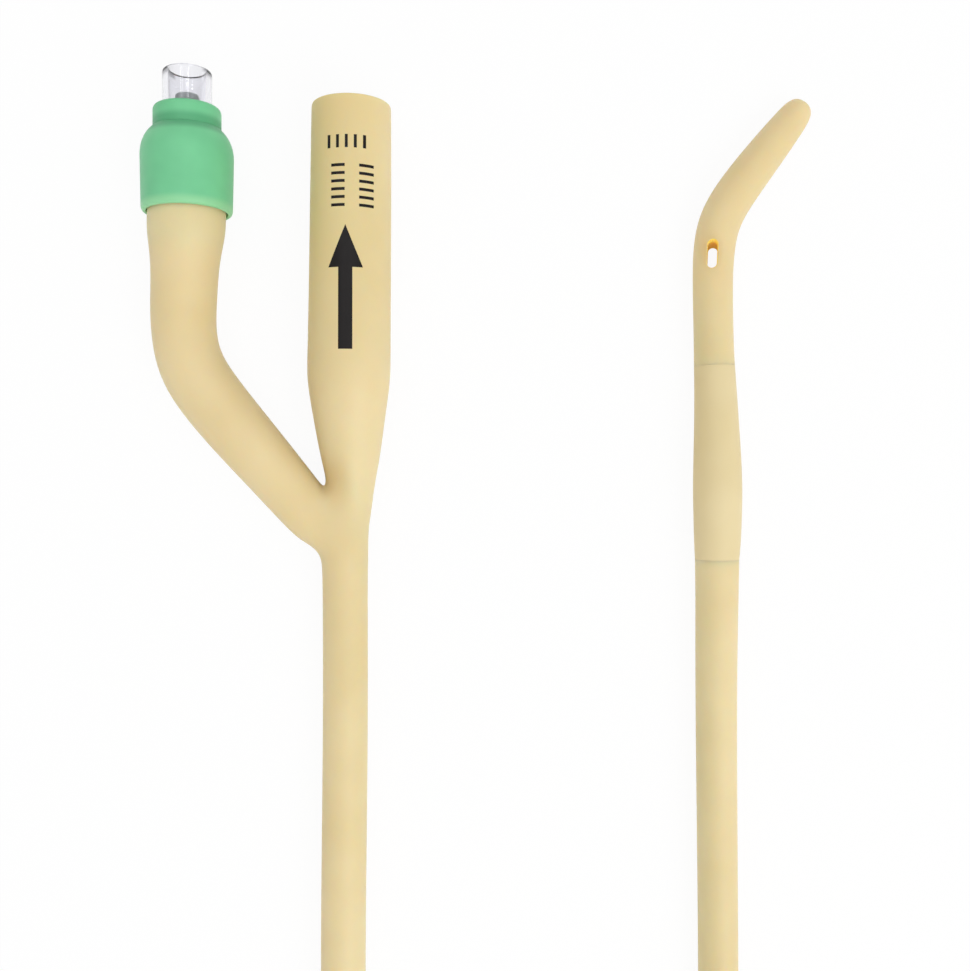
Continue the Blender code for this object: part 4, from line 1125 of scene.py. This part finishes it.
def moulded_vinyl(s):
    """Soft vinyl, injection moulded and pigmented: an even satin with a faint mould grain, with painted
    shade in the groove round the collar's foot and a painted highlight on the thin lip's round edge."""
    finish = bpy.context.scene.catheter_finish
    # The mould's etched grain is about 0.03 mm fine, and is drawn at 0.22 mm so that it shows.
    vinyl = grained(
        "soft_vinyl_moulded_green",
        finish.boot,
        finish.boot_deep,
        cloud=0.0045,
        roughness=0.40,
        grain=0.00022,
        relief=0.00005,
    )
    vinyl.shader.inputs["IOR"].default_value = 1.53
    vinyl.shader.inputs["Specular IOR Level"].default_value = 0.3  # its plasticiser dulls the sheen
    soften(vinyl.shader, 0.15, 0.0012, (0.5, 1.0, 0.6))
    tree, tint = vinyl.tree, vinyl.tint
    height = add_node(tree, "SeparateXYZ", {"Vector": vinyl.place}, 1)
    groove = s.fork.y + collar_top(s) - s.collar_length
    lip, soft = s.fork.y + boot_lip_y(s), s.boot_lip_round
    # Painted shade in the groove round the collar's foot, and a painted highlight on the lip's round
    # edge.
    bands = (
        (groove, 0.2 * s.collar_length, 0.55 * s.collar_length, finish.boot_groove, 0.60),
        (lip, 0.9 * soft, 3.0 * soft, finish.boot_lip, 0.75),
    )
    for middle, full, reach, tone, strength in bands:
        away = add_node(tree, "Math", {0: height, 1: middle}, operation="SUBTRACT")
        away = add_node(tree, "Math", {0: away}, operation="ABSOLUTE")
        fade = {"Value": away, "From Min": full, "From Max": reach, "To Min": strength, "To Max": 0.0}
        band = add_node(tree, "MapRange", fade, interpolation_type="SMOOTHSTEP")
        tint = add_node(tree, "Mix", {0: band, 6: tint, 7: rgba(tone)}, 2, data_type="RGBA")
    tree.links.new(tint, vinyl.shader.inputs["Base Color"])
    return vinyl.material


def clear_moulding(s):
    """Clear acrylic copolymer from a polished mould: it bends what lies behind it, with painted dark
    strokes where the rim's round edge turns the light away, and the mould's faint ripple in its gloss."""
    finish = bpy.context.scene.catheter_finish
    # A polished mould leaves a ripple 1 to 2 mm long, and it is drawn at that size.
    clear = grained(
        "clear_acrylic_moulded",
        finish.clear,
        finish.clear,
        cloud=0.004,
        roughness=0.06,
        grain=0.0016,
        relief=0.00002,
    )
    clear.shader.inputs["Transmission Weight"].default_value = 1.0
    clear.shader.inputs["IOR"].default_value = 1.54
    tree = clear.tree
    # Painted shade: dark strokes on both sides of the rim.
    rim = s.fork + Vector((-s.valve_side, s.luer_rim_height, s.boot_radius))
    from_rim = add_node(tree, "VectorMath", {0: clear.place, 1: rim}, operation="SUBTRACT")
    split = add_node(tree, "SeparateXYZ", {"Vector": from_rim}).node.outputs
    aside = add_node(tree, "Math", {0: split[0]}, operation="ABSOLUTE")
    inside, outside = 0.95 * s.luer_mouth_radius, 0.88 * s.luer_outer_radius
    sides = {"Value": aside, "From Min": inside, "From Max": outside}
    ends = {"Value": split[1], "From Min": -1.9 * s.luer_edge, "From Max": -0.8 * s.luer_edge}
    at_side = add_node(tree, "MapRange", sides, interpolation_type="SMOOTHSTEP")
    at_end = add_node(tree, "MapRange", ends, interpolation_type="SMOOTHSTEP")
    painted_rim_stroke = add_node(tree, "Math", {0: at_side, 1: at_end}, operation="MULTIPLY")
    darker = {0: painted_rim_stroke, 6: clear.tint, 7: rgba(finish.clear_edge)}
    tint = add_node(tree, "Mix", darker, 2, data_type="RGBA")
    tree.links.new(tint, clear.shader.inputs["Base Color"])
    return clear.material


def moulded_acetal():
    """Acetal, injection moulded and pigmented grey: smooth satin with a trace of flow."""
    finish = bpy.context.scene.catheter_finish
    # The flow lines are about 0.05 mm apart, and are drawn at 0.3 mm so that they show.
    acetal = grained(
        "grey_acetal_moulded",
        finish.grey,
        finish.grey_deep,
        cloud=0.0015,
        roughness=0.34,
        grain=0.0003,
        relief=0.00002,
    )
    acetal.shader.inputs["IOR"].default_value = 1.48
    return acetal.material


def moulded_rubber():
    """Nitrile rubber, moulded and tumbled: matt black with a trace of bloom."""
    finish = bpy.context.scene.catheter_finish
    # Tumbling leaves pits of about 0.05 mm, which are drawn at 0.4 mm so that they show.
    rubber = grained(
        "nitrile_rubber_moulded",
        finish.rubber,
        finish.rubber_bloom,
        cloud=0.001,
        roughness=0.55,
        grain=0.0004,
        relief=0.00004,
    )
    rubber.shader.inputs["IOR"].default_value = 1.52
    return rubber.material


def drawn_wire():
    """Stainless spring wire, cold drawn: bright, with faint drawing marks."""
    finish = bpy.context.scene.catheter_finish
    # Drawing marks are about 0.01 mm apart, and are drawn at 0.1 mm so that they show.
    wire = grained(
        "stainless_wire_drawn",
        finish.steel,
        finish.steel_deep,
        cloud=0.0004,
        roughness=0.24,
        grain=0.0001,
        relief=0.00001,
    )
    wire.shader.inputs["Metallic"].default_value = 1.0
    return wire.material


def dress(piece, body, slot, *nodes):
    """Puts a finished piece in the frame: its body and the nodes that it stands for. The slot is not
    used.
    """
    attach(piece, body)
    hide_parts(*nodes)


class CATHETER_OT_body(bpy.types.Operator):
    """Add the dipped latex body: funnel, arm, fork, shaft and bent tip in one piece"""

    bl_idname = "catheter.add_body"
    bl_label = "Add Body"

    def execute(self, context):
        s = sizes()
        route, arm = main_route(s), arm_route(s)
        eye = eye_axes(s, route)[0]
        latex, inner = body_latex(s, eye), inner_latex(s, eye)
        body = finish_mesh(s, "latex_body", body_cage(s, route, arm), latex)
        skin = body.modifiers.new("smooth skin", "SUBSURF")
        skin.levels = SKIN_LEVELS
        skin.render_levels = SKIN_LEVELS
        skin.use_limit_surface = False
        bake_modifiers(body)
        sink_eyes(s, route, body)
        lumen = drain_lumen(s, route)
        cutters = [
            loft(s, "drain_bore_cutter", route, drain_bore(s), 0.0, ROUND_SIDES, inner),
            loft(s, "drain_lumen_cutter", route, lumen, -s.lumen_offset, 32, inner),
            loft(s, "arm_socket_cutter", arm, arm_socket(s), 0.0, SMALL_SIDES, inner),
            eye_cutter(s, route, inner),
        ]
        cut_away(body, cutters, 30)
        dress(body, "catheter", "latex", "catheter_body")
        return {"FINISHED"}


class CATHETER_OT_sleeve(bpy.types.Operator):
    """Add the empty balloon: a thin latex sleeve over the waist of the shaft"""

    bl_idname = "catheter.add_sleeve"
    bl_label = "Add Balloon Sleeve"

    def execute(self, context):
        s = sizes()
        route = main_route(s)
        low, high = sleeve_span(s)
        shape = bmesh.new()
        outer, inner = [], []
        stations = [(part * s.sleeve_length, radius) for part, radius in sleeve_stations(s)]
        for along, radius in natural_spline(stations, 6):
            distance = min(max(low + along, low + s.seam_gap), high - s.seam_gap)
            side = route.side(distance)
            slack = s.sleeve_slack * math.sin(math.pi * along / s.sleeve_length)
            centre = route.at(distance) + side * slack
            hollow = max(radius - s.sleeve_wall, s.waist_radius + s.sleeve_fit + slack)
            outer.append(add_ring(shape, ring_points(centre, side, radius, radius, ROUND_SIDES)))
            inner.append(add_ring(shape, ring_points(centre, side, hollow, hollow, ROUND_SIDES)))
        for rings in (outer, inner):
            for first, second in zip(rings, rings[1:]):
                bridge(shape, first, second)
        bridge(shape, outer[0], inner[0])
        bridge(shape, outer[-1], inner[-1])
        latex = dipped_latex("natural_latex_dipped", 0.05).material
        sleeve = finish_mesh(s, "latex_balloon", shape, latex)
        dress(sleeve, "catheter", "latex", "balloon_sleeve")
        return {"FINISHED"}


class CATHETER_OT_boot(bpy.types.Operator):
    """Add the green boot over the end of the arm"""

    bl_idname = "catheter.add_boot"
    bl_label = "Add Boot"

    def execute(self, context):
        s = sizes()
        top, lip = collar_top(s), boot_lip_y(s)
        roof = top - s.boot_wall_at_roof
        collar, full, rim = s.collar_radius, s.boot_radius, s.boot_lip_radius
        bore, skirt = s.luer_outer_radius + s.fit_gap, s.arm_end_radius + s.skirt_fit
        shoulder, swell, foot = top - s.collar_length, s.shoulder_swell, top - s.shoulder_end
        soft, small = s.boot_lip_round, 0.2 * s.boot_lip_round
        edge = s.collar_edge
        profile = [(bore, top)]
        profile += curve_points((collar - edge, top), (collar, top), (collar, top - edge), 9)
        profile += curve_points((collar, shoulder), (full, shoulder - swell), (full, foot), 24)
        profile += curve_points((rim, lip + 1.7 * soft), (rim, lip), (rim - soft, lip), 9)
        profile += curve_points((skirt + small, lip), (skirt, lip), (skirt, lip + small), 4)
        profile += [(skirt, roof), (bore, roof)]
        boot = turned(s, "green_boot", profile, moulded_vinyl(s))
        dress(boot, "catheter", "green_boot", "valve_boot")
        return {"FINISHED"}


class CATHETER_OT_housing(bpy.types.Operator):
    """Add the clear housing: luer socket, throat, spring chamber, flange and barbed spigot"""

    bl_idname = "catheter.add_housing"
    bl_label = "Add Clear Housing"

    def execute(self, context):
        s = sizes()
        rim, foot, top = s.luer_rim_height, spigot_end(s), flange_top(s)
        flange_low = top - s.flange_thickness
        outside, edge = s.luer_outer_radius, s.luer_edge
        cone = s.chamber_radius - s.throat_radius
        cone_top = rim - s.luer_depth - s.throat_length
        mouth, inner = s.luer_mouth_radius, 0.4 * edge
        profile = curve_points((mouth, rim - inner), (mouth, rim), (mouth + 0.7 * inner, rim), 7)
        profile += curve_points((outside - edge, rim), (outside, rim), (outside, rim - edge), 9)
        profile += [
            (outside, top),
            (s.flange_radius, top),
            (s.flange_radius, flange_low),
            (s.spigot_radius, flange_low),
        ]
        for k in (1, 2):
            shoulder = flange_low - k * s.barb_pitch
            profile += [(s.spigot_radius, shoulder), (s.barb_radius, shoulder - 0.1 * s.barb_rise)]
            profile.append((s.spigot_radius, shoulder - s.barb_rise))
        profile += [
            (s.spigot_radius - s.small_edge, foot),
            (s.retainer_radius, foot),
            (s.retainer_radius, foot + s.retainer_length),
            (s.chamber_radius, foot + s.retainer_length),
            (s.chamber_radius, cone_top - cone),
            (s.throat_radius, cone_top),
            (s.throat_radius, rim - s.luer_depth),
            (s.luer_mouth_radius - s.luer_taper * s.luer_depth, rim - s.luer_depth),
        ]
        profile = rounded_profile(profile, 0.6 * s.small_edge)
        housing = turned(s, "clear_housing", profile, clear_moulding(s))
        dress(housing, "catheter", "clear_plastic", "valve_housing")
        return {"FINISHED"}


def seal_height(s):
    """The seal's ring lies under the housing's conical seat, one gap away from it."""
    cone_top = s.luer_rim_height - s.luer_depth - s.throat_length
    to_cone = (s.seal_wire_radius + s.fit_gap) * math.sqrt(2)
    return cone_top + s.throat_radius - s.seal_ring_radius - to_cone


class CATHETER_OT_plunger(bpy.types.Operator):
    """Add the grey plunger that a syringe presses, with its seal ring"""

    bl_idname = "catheter.add_plunger"
    bl_label = "Add Plunger and Seal"

    def execute(self, context):
        s = sizes()
        top = s.luer_rim_height - s.plunger_depth
        seal_reach = s.seal_wire_radius + s.fit_gap
        neck_radius = s.seal_ring_radius - seal_reach
        neck_top, flange_high = seal_height(s) + seal_reach, seal_height(s) - seal_reach
        flange_low = flange_high - s.head_flange_thickness
        guide_end = flange_low - s.guide_length
        dome = 0.28 * s.plunger_radius
        profile = [(0.0, top)]
        profile += curve_points((dome, top), (s.plunger_radius, top), (s.plunger_radius, top - dome), 9)
        profile += [
            (s.plunger_radius, neck_top + s.fit_gap),
            (neck_radius, neck_top),
            (neck_radius, flange_high),
            (s.head_flange_radius, flange_high),
            (s.head_flange_radius, flange_low),
            (s.guide_radius, flange_low),
            (s.guide_radius, guide_end),
            (0.0, guide_end),
        ]
        profile = rounded_profile(profile, s.small_edge, 6)
        plunger = turned(s, "grey_plunger", profile, moulded_acetal(), SMALL_SIDES)
        shape = bmesh.new()
        slot = (4 * s.plunger_radius, 2 * s.slot_depth, s.slot_width)
        bmesh.ops.create_cube(shape, size=1.0)
        bmesh.ops.scale(shape, vec=slot, verts=shape.verts)
        bmesh.ops.translate(shape, vec=(-s.valve_side, top, s.boot_radius), verts=shape.verts)
        cut_away(plunger, [finish_mesh(s, "plunger_slot_cutter", shape)])
        dress(plunger, "plunger", "grey_plastic", "valve_plunger")

        ring = []
        for a in 2 * math.pi * np.arange(24) / 24:
            radius = s.seal_ring_radius + s.seal_wire_radius * math.cos(a)
            ring.append((radius, seal_height(s) - s.seal_wire_radius * math.sin(a)))
        seal = turned(s, "seal_ring", ring, moulded_rubber(), SMALL_SIDES)
        dress(seal, "plunger", "seal_rubber", "valve_seal")
        return {"FINISHED"}


class CATHETER_OT_spring(bpy.types.Operator):
    """Add the return spring, which shortens under the plunger, and finish the seat that it stands on"""

    bl_idname = "catheter.add_spring"
    bl_label = "Add Spring and Seat"

    def execute(self, context):
        coil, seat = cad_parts["valve_spring"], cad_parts["spring_seat"]
        spring = bpy.data.objects.new("return_spring", coil.data.copy())
        spring.matrix_world = coil.matrix_world.copy()
        context.scene.collection.objects.link(spring)
        for mesh, material in ((spring.data, drawn_wire()), (seat.data, moulded_acetal())):
            mesh.materials.clear()
            mesh.materials.append(material)
        dress(spring, "catheter", "spring_steel", "valve_spring")
        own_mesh(spring)
        return {"FINISHED"}


def add_area_lamp(name, place, target, width, depth, watts):
    lamp = bpy.data.lights.new(name, "AREA")
    lamp.shape = "RECTANGLE"
    lamp.size, lamp.size_y = width, depth
    lamp.energy = watts
    holder = bpy.data.objects.new(name, lamp)
    holder.location = place
    holder.rotation_euler = (target - place).to_track_quat("-Z", "Y").to_euler()
    bpy.context.scene.collection.objects.link(holder)


def studio_floor(stage, valve):
    """Matt white paper, with its fibre in the gloss: the camera sees it as plain white, with the
    part's soft shadow on it. Light that comes through clear plastic sees white paper under the valve
    and black cards round it, which draw the dark lines on its round edges."""
    finish = bpy.context.scene.catheter_finish
    # Fibres are about 0.03 mm thick. They are drawn at 0.8 mm, the size of the clumps that show.
    paper = grained(
        "matt_white_paper",
        finish.floor,
        finish.floor,
        cloud=0.02,
        roughness=0.95,
        grain=0.0008,
        relief=0.00002,
    )
    tree = paper.tree
    rays = add_node(tree, "LightPath").node.outputs
    away = add_node(tree, "VectorMath", {0: paper.place, 1: valve}, operation="SUBTRACT")
    away = add_node(tree, "VectorMath", {0: away}, "Value", operation="LENGTH")
    cards = {"Value": away, "From Min": stage.card_near, "From Max": stage.card_far}
    paper_seen = add_node(tree, "MapRange", {**cards, "To Min": 1.0, "To Max": 0.0})
    white = add_node(tree, "Math", {0: rays["Is Camera Ray"], 1: paper_seen}, operation="MAXIMUM")
    seen = add_node(tree, "Math", {0: rays["Is Camera Ray"], 1: stage.floor_glow}, operation="MULTIPLY")
    glow = add_node(tree, "Emission", {"Color": (1.0, 1.0, 1.0, 1.0), "Strength": white})
    factor = add_node(tree, "Math", {0: seen, 1: rays["Is Transmission Ray"]}, operation="MAXIMUM")
    mix = add_node(tree, "MixShader", {0: factor, 1: paper.shader.outputs[0], 2: glow})
    tree.links.new(mix, tree.nodes["Material Output"].inputs["Surface"])
    return paper.material


def studio_world(stage):
    """An even sky that the camera sees as white. Light that comes through clear plastic also sees a
    dark room low down, which draws the dark lines on its round edges."""
    world = bpy.data.worlds.new("studio")
    world.use_nodes = True
    tree = world.node_tree
    rays = add_node(tree, "LightPath").node.outputs
    direction = add_node(tree, "TexCoord", output="Generated")
    height = add_node(tree, "SeparateXYZ", {"Vector": direction}, 2)
    room = {"Value": height, "From Min": 0.25, "From Max": 0.80, "To Min": 0.01, "To Max": 1.0}
    walls = add_node(tree, "MapRange", room, interpolation_type="SMOOTHSTEP")
    shade = {0: rays["Is Transmission Ray"], 6: (1.0, 1.0, 1.0, 1.0), 7: walls}
    colour_seen = add_node(tree, "Mix", shade, 2, data_type="RGBA")
    even = add_node(tree, "Math", {0: rays["Is Camera Ray"], 1: stage.sky}, operation="MAXIMUM")
    tree.links.new(colour_seen, tree.nodes["Background"].inputs["Color"])
    tree.links.new(even, tree.nodes["Background"].inputs["Strength"])
    bpy.context.scene.world = world


class CATHETER_OT_stage(bpy.types.Operator):
    """Add the floor, the lamps, the sky and the camera that looks straight down"""

    bl_idname = "catheter.add_stage"
    bl_label = "Add Stage"

    def execute(self, context):
        s, stage = sizes(), context.scene.catheter_stage
        shape = bmesh.new()
        corners = ((-1, -1, 0), (1, -1, 0), (1, 1, 0), (-1, 1, 0))
        shape.faces.new([shape.verts.new(Vector(corner) * stage.floor_reach) for corner in corners])
        look = s.fork + Vector((stage.camera_x, stage.camera_y, 0.0))
        valve = s.fork + Vector((-s.valve_side, s.luer_rim_height, s.boot_radius))
        floor = finish_mesh(s, "paper_floor", shape, studio_floor(stage, valve))

        key = look + Vector((stage.key_side, -stage.key_back, stage.key_height))
        add_area_lamp("soft_lamp", key, look, stage.key_size, stage.key_size, stage.key_watts)
        strip = stage.strip_width, stage.strip_length, stage.strip_watts
        for name, lean in (("left_strip", stage.left_strip), ("right_strip", stage.right_strip)):
            beside = Vector((math.tan(lean), math.tan(stage.strip_back), 1.0)) * stage.strip_height
            add_area_lamp(name, valve + beside, valve, *strip)
        studio_world(stage)

        camera = bpy.data.cameras.new("camera")
        camera.sensor_width = SENSOR_WIDTH
        camera.lens = stage.camera_focal * SENSOR_WIDTH / PHOTO_SIZE
        camera.clip_start = 0.01
        holder = bpy.data.objects.new("camera", camera)
        holder.location = look + Vector((0.0, 0.0, stage.camera_height))
        context.scene.collection.objects.link(holder)
        context.scene.camera = holder
        context.scene.view_settings.view_transform = "Standard"
        return {"FINISHED"}


class CATHETER_PT_panel(bpy.types.Panel):
    """The catheter's pieces and sizes"""

    bl_idname = "CATHETER_PT_panel"
    bl_label = "Catheter"
    bl_space_type = "VIEW_3D"
    bl_region_type = "UI"
    bl_category = "Catheter"

    def draw(self, context):
        for operator in OPERATORS:
            self.layout.operator(operator.bl_idname)
        for holder, group in GROUPS.items():
            box = self.layout.box()
            for name in group.__annotations__:
                box.prop(getattr(context.scene, holder), name)


GROUPS = {**SIZE_GROUPS, "catheter_finish": Finishes, "catheter_stage": StageSizes}
OPERATORS = (
    CATHETER_OT_body,
    CATHETER_OT_sleeve,
    CATHETER_OT_boot,
    CATHETER_OT_housing,
    CATHETER_OT_plunger,
    CATHETER_OT_spring,
    CATHETER_OT_stage,
)


def register():
    for cls in (*GROUPS.values(), *OPERATORS, CATHETER_PT_panel):
        bpy.utils.register_class(cls)
    for holder, group in GROUPS.items():
        setattr(bpy.types.Scene, holder, PointerProperty(type=group))


def unregister():
    for holder in GROUPS:
        delattr(bpy.types.Scene, holder)
    for cls in (CATHETER_PT_panel, *reversed(OPERATORS), *reversed(GROUPS.values())):
        bpy.utils.unregister_class(cls)


def main():
    register()
    for add in (
        bpy.ops.catheter.add_body,
        bpy.ops.catheter.add_sleeve,
        bpy.ops.catheter.add_boot,
        bpy.ops.catheter.add_housing,
        bpy.ops.catheter.add_plunger,
        bpy.ops.catheter.add_spring,
        bpy.ops.catheter.add_stage,
    ):
        add()


if __name__ == "__main__":
    main()
